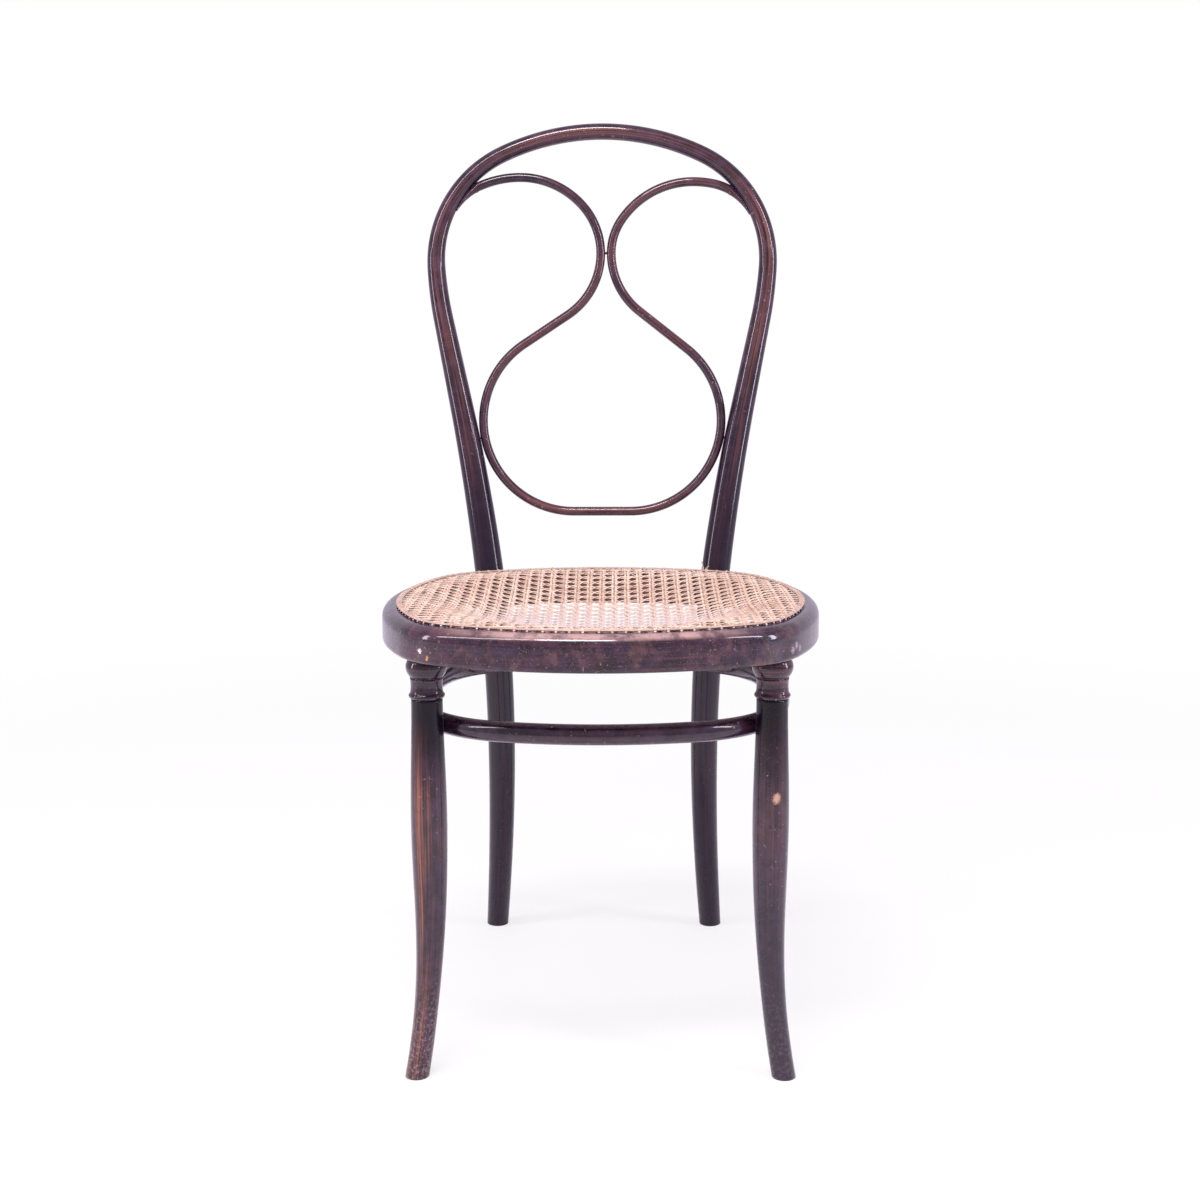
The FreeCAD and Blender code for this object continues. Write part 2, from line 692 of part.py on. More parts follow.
def seat_bolt():
    """Bolt, washer and nut of the right upright, and the holes that they need."""
    centre, diameter, inward = bolt_line()
    outside = seat.nearest(centre)[0]
    back = centre - inward * (diameter / 2.0 - BOLT_HEAD_SINK)
    wall = centre + inward * (outside + RING_WIDTH - SPOT_FACE)
    washer_end = wall + inward * WASHER_THICKNESS
    nut_end = washer_end + inward * NUT_HEIGHT
    length = (nut_end - back).Length + BOLT_TIP
    bore = BOLT_DIAMETER + 2.0 * HOLE_CLEARANCE
    bolt = headed(back, inward, BOLT_DIAMETER, length, BOLT_HEAD_DIAMETER, BOLT_HEAD_HEIGHT)
    washer = cylinder(wall, washer_end, WASHER_DIAMETER).cut(cylinder(wall, washer_end, bore))
    corner = NUT_WIDTH / math.sqrt(2.0)
    square = Part.makePolygon([V(corner, 0, 0), V(0, corner, 0), V(-corner, 0, 0), V(0, -corner, 0), V(corner, 0, 0)])
    nut = Part.Face(square).extrude(UP * NUT_HEIGHT)
    nut.Placement = FreeCAD.Placement(washer_end, FreeCAD.Rotation(UP, inward))
    nut = nut.cut(cylinder(washer_end, nut_end, bore))
    holes = [
        head_hole(back, inward, BOLT_HEAD_DIAMETER),
        shank_hole(back, inward, BOLT_DIAMETER, length),
        cylinder(wall, wall + inward * WASHER_DIAMETER, WASHER_DIAMETER + 2.0 * HOLE_CLEARANCE),
    ]
    return bolt, washer, nut, holes


def make_seat_ring():
    """The bent ring, rounded along its edges, with every socket, housing and hole."""
    ring = seat.plate(0.0, ring_bottom, RING_HEIGHT).cut(seat.plate(RING_WIDTH, ring_bottom, RING_HEIGHT))
    rounds = ((0.0, SEAT_TOP, RING_TOP_ROUND), (RING_WIDTH, SEAT_TOP, RING_INNER_ROUND),
              (0.0, ring_bottom, RING_BOTTOM_ROUND), (RING_WIDTH, ring_bottom, RING_BOTTOM_ROUND))
    for inset, height, radius in rounds:
        ring = ring.makeFillet(radius, edges_on(ring, inset, height))
    cutters = []
    for point in seat.points(CANE_HOLE_INSET, CANE_HOLE_PITCH):
        low = point + UP * (ring_bottom - 1.0)
        cutters.append(cylinder(low, point + UP * (SEAT_TOP + 1.0), CANE_HOLE_DIAMETER))
    socket = cylinder(V(LEG_SPREAD, leg_y, ring_bottom - 1.0), V(LEG_SPREAD, leg_y, ring_bottom + TENON_DEPTH),
                      TENON_DIAMETER + 2.0 * SEAT_CLEARANCE)
    for cutter in [socket, upright_cutter(SEAT_CLEARANCE)] + seat_bolt()[3][1:]:
        cutters += [cutter, mirrored(cutter)]
    return ring.cut(cutters)


def edges_on(shape, inset, height):
    """The edges of a shape that lie on the oval's line at an inset and a height."""
    found = []
    for edge in shape.Edges:
        box = edge.BoundBox
        middle = edge.valueAt((edge.FirstParameter + edge.LastParameter) / 2.0)
        level = box.ZLength < 1e-6 and abs(box.ZMin - height) < 1e-6
        if level and abs(seat.nearest(middle)[0] + inset) < 1e-3:
            found.append(edge)
    return found


def make_pegs():
    """A short peg in each cane hole, flush with the ring's top."""
    pegs = []
    for point in seat.points(CANE_HOLE_INSET, CANE_HOLE_PITCH):
        low = point + UP * (SEAT_TOP - PEG_LENGTH)
        pegs.append(cylinder(low, point + UP * SEAT_TOP, CANE_HOLE_DIAMETER - 2.0 * HOLE_CLEARANCE))
    return Part.makeCompound(pegs)


def make_panel():
    """The caned panel as one holed skin: flat on the ring and dished inside it."""
    edge = CANE_HOLE_INSET - BINDER_WIDTH / 2.0
    top = SEAT_TOP + PANEL_THICKNESS
    radius = (PANEL_DISH_RADIUS ** 2 + PANEL_SAG ** 2) / (2.0 * PANEL_SAG)
    centre = V(0, 0, top + radius - PANEL_SAG)
    well = cylinder(V(0, 0, top - 4.0 * PANEL_SAG), V(0, 0, top), 2.0 * PANEL_DISH_RADIUS)
    shell = Part.makeSphere(radius + PANEL_THICKNESS, centre).cut(Part.makeSphere(radius, centre))
    panel = seat.plate(edge, SEAT_TOP, PANEL_THICKNESS).cut(well).fuse(well.common(shell))
    gap = NET_PITCH - NET_STRAND
    border = CANE_HOLE_INSET + BINDER_WIDTH / 2.0 + NET_STRAND / 2.0
    reach = math.ceil(SEAT_HALF_DEPTH / NET_PITCH)
    gaps = []
    for i in range(-reach, reach):
        for j in range(-reach, reach):
            corner = V(i * NET_PITCH + NET_STRAND / 2.0, j * NET_PITCH + NET_STRAND / 2.0, 0)
            far = V(max(abs(corner.x), abs(corner.x + gap)), max(abs(corner.y), abs(corner.y + gap)), 0)
            if seat.nearest(far)[0] < -border:
                gaps.append(Part.makeBox(gap, gap, 8.0 * PANEL_SAG, corner + UP * (top - 4.0 * PANEL_SAG)))
    return panel.cut(gaps)


def make_binder():
    low = SEAT_TOP + PANEL_THICKNESS
    outer = seat.plate(CANE_HOLE_INSET - BINDER_WIDTH / 2.0, low, BINDER_THICKNESS)
    return outer.cut(seat.plate(CANE_HOLE_INSET + BINDER_WIDTH / 2.0, low, BINDER_THICKNESS))


def centre_pin():
    half = CURL_GAP / 2.0 + PIN_BITE
    start = V(CURL_SHIFT - half, CURL_HEIGHT, 0)
    end = V(CURL_SHIFT + half, CURL_HEIGHT, 0)
    spare = V(HOLE_CLEARANCE, 0, 0)
    return cylinder(start, end, PIN_DIAMETER), cylinder(start - spare, end + spare, PIN_DIAMETER + 2.0 * HOLE_CLEARANCE)


def placed(shape):
    shape.Placement = back_place.multiply(shape.Placement)
    return shape


def build():
    """Every node by name."""
    nodes = {}
    hoop_holes = []
    loop_holes = []
    leg_ring_holes = []
    leg_holes = []
    for side, plan, mirror in (("right", loop_right, False), ("left", loop_left, True)):
        for name, found in (("loop_bow_screw", bow_fixing(plan)), ("loop_end_screw", tail_fixing(plan))):
            screw, recess, drill = [placed(mirrored(s) if mirror else s) for s in found]
            nodes[name + "_" + side] = screw
            hoop_holes.append(drill)
            loop_holes += [recess, drill]
    pin, pin_hole = centre_pin()
    nodes["curl_pin"] = placed(pin)
    loop_holes.append(placed(pin_hole))

    front = front_leg(LEG_RING_HEIGHT)[0]
    rear = rear_leg(1.0 - LEG_RING_HEIGHT / SEAT_TOP)[0]
    for end, leg, holes in (("front", front, leg_holes), ("rear", rear, hoop_holes)):
        screw, recess, drill = ring_fixing(leg)
        nodes["leg_ring_screw_%s_right" % end] = screw
        nodes["leg_ring_screw_%s_left" % end] = mirrored(screw)
        for cutter in (recess, drill):
            leg_ring_holes += [cutter, mirrored(cutter)]
        for cutter in (drill, ring_saddle(leg)):
            holes.append(cutter)
            if end == "rear":
                holes.append(mirrored(cutter))

    bolt, washer, nut, bolt_holes = seat_bolt()
    for name, shape in (("seat_bolt", bolt), ("seat_washer", washer), ("seat_nut", nut)):
        nodes[name + "_right"] = shape
        nodes[name + "_left"] = mirrored(shape)
    for cutter in bolt_holes[:2]:
        hoop_holes += [cutter, mirrored(cutter)]

    leg = make_front_leg().cut(leg_holes)
    capital = make_capital()
    nodes["front_leg_right"] = leg
    nodes["front_leg_left"] = mirrored(leg)
    nodes["capital_right"] = capital
    nodes["capital_left"] = mirrored(capital)
    nodes["back_hoop"] = make_hoop().cut(hoop_holes)
    nodes["back_loop"] = make_loop().cut(loop_holes)
    nodes["leg_ring"] = make_leg_ring().cut(leg_ring_holes)
    nodes["seat_ring"] = make_seat_ring()
    nodes["cane_panel"] = make_panel()
    nodes["cane_binder"] = make_binder()
    nodes["cane_pegs"] = make_pegs()
    return nodes


def main():
    nodes = build()
    whole = Part.makeCompound(list(nodes.values())).optimalBoundingBox(False, False)
    shift = V(0, -(whole.YMin + whole.YMax) / 2.0, -whole.ZMin)
    os.makedirs("parts", exist_ok=True)
    for name, shape in sorted(nodes.items()):
        shape.translate(shift)
        shape.exportStep("parts/" + name + ".step")
        print(name, "solids", len(shape.Solids), "valid", shape.isValid(), "volume", round(shape.Volume))
    print("size", round(whole.XLength, 1), round(whole.YLength, 1), round(whole.ZLength, 1))
    print("shift", round(shift.y, 3), round(shift.z, 3))


main()
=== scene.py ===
import math

import bpy
import numpy as np
from mathutils import Matrix


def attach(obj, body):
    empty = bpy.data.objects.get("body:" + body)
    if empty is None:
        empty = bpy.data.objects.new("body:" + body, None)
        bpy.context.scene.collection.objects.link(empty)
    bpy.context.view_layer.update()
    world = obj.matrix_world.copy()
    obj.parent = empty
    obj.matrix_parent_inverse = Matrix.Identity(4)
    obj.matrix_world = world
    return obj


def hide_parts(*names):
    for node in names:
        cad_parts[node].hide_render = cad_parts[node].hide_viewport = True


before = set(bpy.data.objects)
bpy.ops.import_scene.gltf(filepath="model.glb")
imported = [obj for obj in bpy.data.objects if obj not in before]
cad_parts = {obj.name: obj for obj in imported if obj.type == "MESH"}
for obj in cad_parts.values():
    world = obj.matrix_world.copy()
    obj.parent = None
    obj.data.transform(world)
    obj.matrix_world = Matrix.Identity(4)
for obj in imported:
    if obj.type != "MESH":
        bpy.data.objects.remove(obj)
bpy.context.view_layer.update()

# Back hoop
# One beech rod, steamed and bent round a form, that makes the top of the back, both
# uprights and both rear legs. It is thickest at the seat, and its grain follows the bend.
MM = 0.001
RIGHT = np.array([1.0, 1.0, 1.0])
LEFT = np.array([-1.0, 1.0, 1.0])
UP = np.array([0.0, 0.0, 1.0])
ROD_STEP = 2.5
ROD_SIDES = 64
SEAT_TOP = 440.0
DEPTH_SHIFT = -37.072  # from the seat's own middle to the frame's
BACK_LEAN = math.radians(5.74)
UPRIGHT_Y = 204.437 + DEPTH_SHIFT
HOOP_RISE = 485.0
HOOP_BENDS = ((258.8, 25.3), (128.7, 68.4), (412.9, 7.8))  # radius and degrees, from the top
HOOP_STRAIGHT = 94.8
HOOP_WAIST_RADIUS = 2445.0
HOOP_TOP_DIAMETER = 17.7
HOOP_SEAT_DIAMETER = 31.8
HOOP_MEAN_DIAMETER = 27.0
HOOP_SWELL_START = 0.2
HOOP_SWELL_END = 1.15
REAR_FOOT_DIAMETER = 25.2
REAR_FOOT = (127.9, 76.0)
REAR_FOOT_SPLAY = (math.tan(math.radians(5.0)), math.tan(math.radians(24.0)))
FLOOR_CUT_REACH = 30.0
SHORTEST_STEP = 0.05

SHELLAC_DEEP = (0.010, 0.003, 0.012)
SHELLAC_THIN = (0.036, 0.015, 0.040)
SHELLAC_SHEEN = (0.55, 0.45, 1.0)
STAINED_BROWN = (0.095, 0.030, 0.044)
GRAIN_RED = (0.180, 0.060, 0.052)
RUBBED_WOOD = (0.240, 0.092, 0.060)
SCUFF_GREY = (0.45, 0.34, 0.36)
GRAIN_SCALE = (9.0, 620.0)
BAND_SCALE = (5.0, 150.0)
PATCH_SCALE = 13.0
DAPPLE_SCALE = 75.0
SCUFF_SCALE = 260.0
CHIP_SCALE = 900.0
CHIP_RAGGED = 0.6
GRAIN_DEPTH = 0.0004


def smoothstep(t):
    """3 t^2 - 2 t^3, held at 0 and 1 outside."""
    t = np.clip(t, 0.0, 1.0)
    return t * t * (3.0 - 2.0 * t)


def arc(centre, radius, first, last):
    """Points of a flat arc, at centre + radius * (cos, sin) from one angle to another."""
    angle = np.linspace(first, last, max(3, int(abs(radius * (last - first)) / ROD_STEP) + 1))
    return np.stack([centre[0] + radius * np.cos(angle), centre[1] + radius * np.sin(angle)], 1)


def straight(start, end):
    """Even points from one place to another."""
    start, end = np.array(start), np.array(end)
    count = max(2, int(np.linalg.norm(end - start) / ROD_STEP) + 1)
    return start + (end - start) * np.linspace(0.0, 1.0, count)[:, None]


def joined(*runs):
    """Flat runs end to end, without the points that they share."""
    line = np.vstack(runs)
    keep = np.concatenate([[True], np.linalg.norm(np.diff(line, axis=0), axis=1) > SHORTEST_STEP])
    return line[keep]


def on_back(flat):
    """Set a flat (x, rise) line on the leaning plane of the back: y grows with the sine
    of the lean and z with its cosine."""
    x, rise = flat[:, 0], flat[:, 1]
    return np.stack([x, UPRIGHT_Y + rise * math.sin(BACK_LEAN), SEAT_TOP + rise * math.cos(BACK_LEAN)], 1)


def lengths(line):
    """Distance run along a line at each of its points."""
    return np.concatenate([[0.0], np.cumsum(np.linalg.norm(np.diff(line, axis=0), axis=1))])


def hoop_half():
    """The hoop's right half in the back's plane, from the top centre to the seat: three
    arcs of a growing heading, a straight run and a wide arc that bends back out."""
    x, y, heading = 0.0, HOOP_RISE, 0.0
    runs, centres = [], []
    for radius, turn in HOOP_BENDS:
        centre = (x - radius * math.sin(heading), y - radius * math.cos(heading))
        heading += math.radians(turn)
        runs.append(arc(centre, radius, math.pi / 2 - heading + math.radians(turn), math.pi / 2 - heading))
        centres.append(centre)
        x, y = runs[-1][-1]
    end = (x + HOOP_STRAIGHT * math.cos(heading), y - HOOP_STRAIGHT * math.sin(heading))
    runs.append(straight((x, y), end))
    waist = (end[0] + HOOP_WAIST_RADIUS * math.sin(heading), end[1] + HOOP_WAIST_RADIUS * math.cos(heading))
    last = math.acos(math.cos(heading) + end[1] / HOOP_WAIST_RADIUS)
    runs.append(arc(waist, HOOP_WAIST_RADIUS, -math.pi / 2 - heading, -math.pi / 2 - last))
    return joined(*runs), last, centres[1]


def hoop_radius_at(share):
    """Half the hoop's diameter at a share of the way from the top centre to the seat:
    the top's diameter plus the growth to the seat's, by a smooth step."""
    span = HOOP_SWELL_END - HOOP_SWELL_START
    swell = smoothstep((share - HOOP_SWELL_START) / span) / smoothstep((1.0 - HOOP_SWELL_START) / span)
    return (HOOP_TOP_DIAMETER + (HOOP_SEAT_DIAMETER - HOOP_TOP_DIAMETER) * swell) / 2.0


def rear_leg(start, heading):
    """The right rear leg: a cubic curve from the seat to the floor that keeps the
    upright's direction at the top and splays out at the foot."""
    down = np.array([math.cos(heading), -math.sin(heading) * math.sin(BACK_LEAN),
                     -math.sin(heading) * math.cos(BACK_LEAN)])
    foot = np.array([REAR_FOOT[0], UPRIGHT_Y + REAR_FOOT[1], 0.0])
    end = np.array([REAR_FOOT_SPLAY[0], REAR_FOOT_SPLAY[1], -1.0])
    third = SEAT_TOP / 3.0
    poles = [start, start + down * third / abs(down[2]), foot - end * third, foot]
    t = np.linspace(0.0, 1.0, int(SEAT_TOP / ROD_STEP))[1:, None]
    weights = [(1 - t) ** 3, 3 * t * (1 - t) ** 2, 3 * t * t * (1 - t), t ** 3]
    return sum(weight * pole for weight, pole in zip(weights, poles)), t[:, 0]


def tube(line, radii, normal, closed=False, depths=None):
    """Rings of points round a line. Each ring lies square to the line, turned so that
    its first point faces the given normal: centre + radius * cos * n + depth * sin * b,
    where the depth is the radius too, unless it is given."""
    depths = radii if depths is None else depths
    if closed:
        tangent = np.roll(line, -1, 0) - np.roll(line, 1, 0)
    else:
        tangent = np.gradient(line, axis=0)
    tangent /= np.linalg.norm(tangent, axis=1, keepdims=True)
    n = normal - (tangent * normal).sum(1, keepdims=True) * tangent
    n /= np.linalg.norm(n, axis=1, keepdims=True)
    b = np.cross(tangent, n)
    angle = np.linspace(0.0, 2.0 * math.pi, ROD_SIDES, endpoint=False)
    across = (radii[:, None] * np.cos(angle))[:, :, None] * n[:, None]
    deep = (depths[:, None] * np.sin(angle))[:, :, None] * b[:, None]
    return line[:, None] + across + deep


def cut_level(rings, run, end):
    """Slide the last rings along the rod, more and more towards its end, so that the
    end lies flat on the floor and no ring passes another."""
    last = rings[end]
    along = last.mean(0) - rings[end + (1 if end == 0 else -1)].mean(0)
    along /= np.linalg.norm(along)
    slide = last[:, 2] / along[2]
    share = np.clip(1.0 - np.abs(run - run[end]) / FLOOR_CUT_REACH, 0.0, 1.0)
    return rings - share[:, None, None] * slide[None, :, None] * along


def round_turn(diameter):
    """Distances round a rod at the corners of its sides, up to pi * diameter."""
    return np.linspace(0.0, math.pi * diameter, ROD_SIDES + 1)


def made(name, vertices, corners, counts, smooth, uv):
    """A piece from whole arrays: places in millimetres, the corners of all faces in
    turn, the number of corners of each face, and a UV place in millimetres per corner."""
    mesh = bpy.data.meshes.new(name)
    mesh.vertices.add(len(vertices))
    mesh.vertices.foreach_set("co", (vertices * MM).astype(np.float32).ravel())
    mesh.loops.add(len(corners))
    mesh.loops.foreach_set("vertex_index", corners.astype(np.int32))
    mesh.polygons.add(len(counts))
    mesh.polygons.foreach_set("loop_start", (np.cumsum(counts) - counts).astype(np.int32))
    mesh.polygons.foreach_set("use_smooth", smooth)
    mesh.update()
    mesh.uv_layers.new(name="along").data.foreach_set("uv", (uv * MM).astype(np.float32).ravel())
    mesh.validate()
    piece = bpy.data.objects.new(name, mesh)
    bpy.context.scene.collection.objects.link(piece)
    return piece


def surface(name, rings, along, around, closed=False, smooth_ends=False):
    """A skin over rings of points, with faces outwards. Its UV map holds the distance
    along the piece and the distance round it. Open ends get a flat fan."""
    rows, sides = rings.shape[:2]
    step = np.roll(rings, -1, 0) - rings if closed else np.diff(rings, axis=0, append=rings[-1:])
    turn = np.cross(np.roll(rings, -1, 1) - rings, step)
    if ((rings - rings.mean(1, keepdims=True)) * turn).sum() < 0.0:
        rings, around = rings[:, ::-1], around[::-1]
    vertices = rings.reshape(-1, 3)
    i, j = np.meshgrid(np.arange(rows if closed else rows - 1), np.arange(sides), indexing="ij")
    i, j = i.ravel(), j.ravel()
    after, beside = (i + 1) % rows, (j + 1) % sides
    faces = np.stack([i * sides + j, i * sides + beside, after * sides + beside, after * sides + j], 1)
    u = np.stack([along[i], along[i], along[i + 1], along[i + 1]], 1)
    v = np.stack([around[j], around[j + 1], around[j + 1], around[j]], 1)
    corners, counts, uv = [faces.ravel()], [np.full(len(faces), 4)], [np.stack([u.ravel(), v.ravel()], 1)]
    if not closed:
        vertices = np.vstack([vertices, rings[0].mean(0), rings[-1].mean(0)])
        k = np.arange(sides)
        for row, middle in ((0, rows * sides), (rows - 1, rows * sides + 1)):
            one, two = row * sides + k, row * sides + (k + 1) % sides
            if row == 0:
                one, two = two, one
            fan = np.stack([one, two, np.full(sides, middle)], 1).ravel()
            flat = vertices[fan] - vertices[middle]
            corners.append(fan)
            counts.append(np.full(sides, 3))
            uv.append(np.stack([along[row] + flat[:, 0], flat[:, 1]], 1))
    corners, counts, uv = np.concatenate(corners), np.concatenate(counts), np.concatenate(uv)
    return made(name, vertices, corners, counts, (counts == 4) | smooth_ends, uv)


def finished(piece, material, slot, *replaced):
    """Give a piece its material and its body, and hide the solids that it stands for. The slot is not used.
    """
    piece.data.materials.append(material)
    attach(piece, "root")
    if replaced:
        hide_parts(*replaced)


class Finish:
    """One material, built up in layers. Places and sizes are in metres."""

    def __init__(self, name):
        self.material = bpy.data.materials.new(name)
        self.material.use_nodes = True
        self.nodes = self.material.node_tree.nodes
        self.links = self.material.node_tree.links
        self.shader = self.nodes["Principled BSDF"]
        self.place = self.nodes.new("ShaderNodeTexCoord").outputs["Object"]

    def put(self, socket, value):
        """Set a socket to a number or a colour, or link another socket to it."""
        if isinstance(value, (float, int)):
            socket.default_value = value
        elif isinstance(value, tuple):
            socket.default_value = value + (1.0,) * (len(socket.default_value) - len(value))
        else:
            self.links.new(value, socket)

    def shade(self, **values):
        """Set the shader's own sockets, named with underlines for their spaces."""
        for name, value in values.items():
            self.put(self.shader.inputs[name.replace("_", " ")], value)

    def along(self, x, y):
        """The piece's UV map, with the distances along and round it times two scales."""
        uv = self.nodes.new("ShaderNodeUVMap")
        uv.uv_map = "along"
        mapping = self.nodes.new("ShaderNodeMapping")
        mapping.inputs["Scale"].default_value = (x, y, 1.0)
        self.links.new(uv.outputs["UV"], mapping.inputs["Vector"])
        return mapping.outputs["Vector"]

    def part(self, vector, axis):
        """One coordinate of a vector."""
        node = self.nodes.new("ShaderNodeSeparateXYZ")
        self.links.new(vector, node.inputs[0])
        return node.outputs[axis]

    def noise(self, vector, scale, detail=3.0, roughness=0.5):
        """Cloudy noise about 0.5, with so many clouds to the metre as its scale."""
        node = self.nodes.new("ShaderNodeTexNoise")
        for socket, value in (("Vector", vector), ("Scale", scale), ("Detail", detail),
                              ("Roughness", roughness)):
            self.put(node.inputs[socket], value)
        return node.outputs["Fac"]

    def between(self, value, low, high, first=0.0, last=1.0):
        """Runs evenly from first to last while the value runs from low to high."""
        node = self.nodes.new("ShaderNodeMapRange")
        for socket, number in (("Value", value), ("From Min", low), ("From Max", high),
                               ("To Min", first), ("To Max", last)):
            self.put(node.inputs[socket], number)
        return node.outputs["Result"]

    def maths(self, operation, one, two=0.0):
        """One sum, product or other operation on two numbers."""
        node = self.nodes.new("ShaderNodeMath")
        node.operation = operation
        self.put(node.inputs[0], one)
        self.put(node.inputs[1], two)
        return node.outputs["Value"]

    def times(self, one, two):
        """One number times another."""
        return self.maths("MULTIPLY", one, two)

    def blend(self, factor, one, two):
        """(1 - factor) of one colour and factor of the other."""
        node = self.nodes.new("ShaderNodeMix")
        node.data_type = "RGBA"
        self.put(node.inputs["Factor"], factor)
        self.put(node.inputs[6], one)
        self.put(node.inputs[7], two)
        return node.outputs[2]

    def near(self, spots, inner, outer):
        """1 within the inner distance of any of the spots, 0 beyond the outer."""
        found = None
        for spot in spots:
            node = self.nodes.new("ShaderNodeVectorMath")
            node.operation = "DISTANCE"
            self.links.new(self.place, node.inputs[0])
            node.inputs[1].default_value = spot
            share = self.between(node.outputs["Value"], inner, outer, 1.0, 0.0)
            found = share if found is None else self.maths("MAXIMUM", found, share)
        return found

    def height(self, low, high, first, last):
        """A share that runs from first to last between two heights."""
        return self.between(self.part(self.place, "Z"), low, high, first, last)

    def stain(self, share, colour):
        """Lay a colour over what the material has so far, by a share."""
        self.colour = self.blend(share, self.colour, colour)
        self.put(self.shader.inputs["Base Color"], self.colour)

    def chip(self, spots, size, colour, share=1.0):
        """Lay a colour on each of the spots, out to a size that noise makes ragged."""
        cloud = self.noise(self.place, CHIP_SCALE, 3.0, 0.7)
        ragged = self.between(cloud, 0.3, 0.7, -CHIP_RAGGED, CHIP_RAGGED)
        bare = self.maths("ADD", self.near(spots, 0.2 * size, size), ragged)
        self.stain(self.between(bare, 0.45, 0.6, 0.0, share), colour)

    def bump(self, height, strength, distance):
        """Raise the surface by a height of 0 to 1 times a distance."""
        node = self.nodes.new("ShaderNodeBump")
        self.put(node.inputs["Strength"], strength)
        self.put(node.inputs["Distance"], distance)
        self.put(node.inputs["Height"], height)
        self.links.new(node.outputs["Normal"], self.shader.inputs["Normal"])


def shellac(name, warm, worn, crest=None, rubbed=RUBBED_WOOD):
    """Dark shellac over stained beech. Grain lines and bands run along the UV map. Where
    bands and patches add up to much, brown wood shows, more so if warm or worn is high,
    and specks are pale. A crest (diameter, share of the way round, strength) is a streak
    rubbed along the rod, by the cosine of the way round from it."""
    finish = Finish(name)
    grain = finish.noise(finish.along(*GRAIN_SCALE), 1.0, 4.0, 0.6)
    bands = finish.noise(finish.along(*BAND_SCALE), 1.0, 3.0, 0.6)
    patches = finish.noise(finish.place, PATCH_SCALE, 4.0, 0.6)
    dapple = finish.noise(finish.place, DAPPLE_SCALE, 3.0, 0.6)
    shown = finish.maths("ADD", finish.times(bands, 0.55), finish.times(patches, 0.45))
    brown = finish.between(shown, 0.54 - 0.08 * worn, 0.68 - 0.08 * worn, 0.0, 0.35 + 0.6 * warm)
    finish.colour = finish.blend(finish.between(dapple, 0.4, 0.65), SHELLAC_DEEP, SHELLAC_THIN)
    finish.stain(brown, STAINED_BROWN)
    finish.stain(finish.times(finish.between(grain, 0.52, 0.66), 0.1 + 0.45 * warm), GRAIN_RED)
    if crest:
        diameter, share, strength = crest
        angle = finish.part(finish.along(1.0, 2.0 / (diameter * MM)), "Y")
        facing = finish.maths("COSINE", finish.maths("SUBTRACT", angle, 2.0 * math.pi * share))
        streak = finish.times(finish.between(facing, 0.7, 1.0), finish.between(bands, 0.42, 0.62))
        lines = finish.between(grain, 0.42, 0.56, 0.2 * strength, strength)
        finish.stain(finish.times(streak, lines), rubbed)
    specks = finish.between(finish.noise(finish.place, SCUFF_SCALE, 4.0, 0.7), 0.64, 0.71, 0.0, 0.9)
    finish.stain(finish.times(specks, finish.between(patches, 0.42, 0.56)), SCUFF_GREY)
    finish.shade(Roughness=finish.between(dapple, 0.3, 0.7, 0.22, 0.42), IOR=1.45, Specular_IOR_Level=0.12,
                 Coat_Weight=0.9, Coat_Roughness=0.09, Coat_IOR=1.5,
                 Sheen_Weight=0.16, Sheen_Roughness=0.3, Sheen_Tint=SHELLAC_SHEEN)
    relief = finish.maths("ADD", finish.times(grain, 0.7), finish.times(dapple, 0.3))
    finish.bump(relief, 0.25, GRAIN_DEPTH)
    return finish


half, seat_heading, shoulder = hoop_half()
half_run = lengths(half)
leg_line, leg_share = rear_leg(on_back(half)[-1], seat_heading)
leg_radius = (HOOP_SEAT_DIAMETER - (HOOP_SEAT_DIAMETER - REAR_FOOT_DIAMETER) * leg_share ** 2) / 2.0
right_line = np.vstack([on_back(half), leg_line])
right_radius = np.concatenate([hoop_radius_at(half_run / half_run[-1]), leg_radius])
hoop_line = np.vstack([right_line[:0:-1] * LEFT, right_line])
hoop_radius = np.concatenate([right_radius[:0:-1], right_radius])
back_normal = np.array([0.0, -math.cos(BACK_LEAN), math.sin(BACK_LEAN)])
hoop_run = lengths(hoop_line)
hoop_rings = tube(hoop_line, hoop_radius, back_normal)
for end in (0, -1):
    hoop_rings = cut_level(hoop_rings, hoop_run, end)

# Seat ring
# A strip of beech bent into a rounded oval and scarfed end to end, well rounded along its
# outer top edge. The uprights are let into its rear, and the front legs stand in its sockets.
RING_HEIGHT = 34.0
RING_WIDTH = 40.0
RING_HALF_WIDTH = 217.0
RING_HALF_DEPTH = 220.0
RING_CORNER = 95.0
RING_FULLNESS = 0.815
RING_ROUNDS = (3.0, 11.0, 5.0, 3.0)
RING_STEP = 2.5
PROFILE_STEP = 1.4
ROUND_POINTS = 8

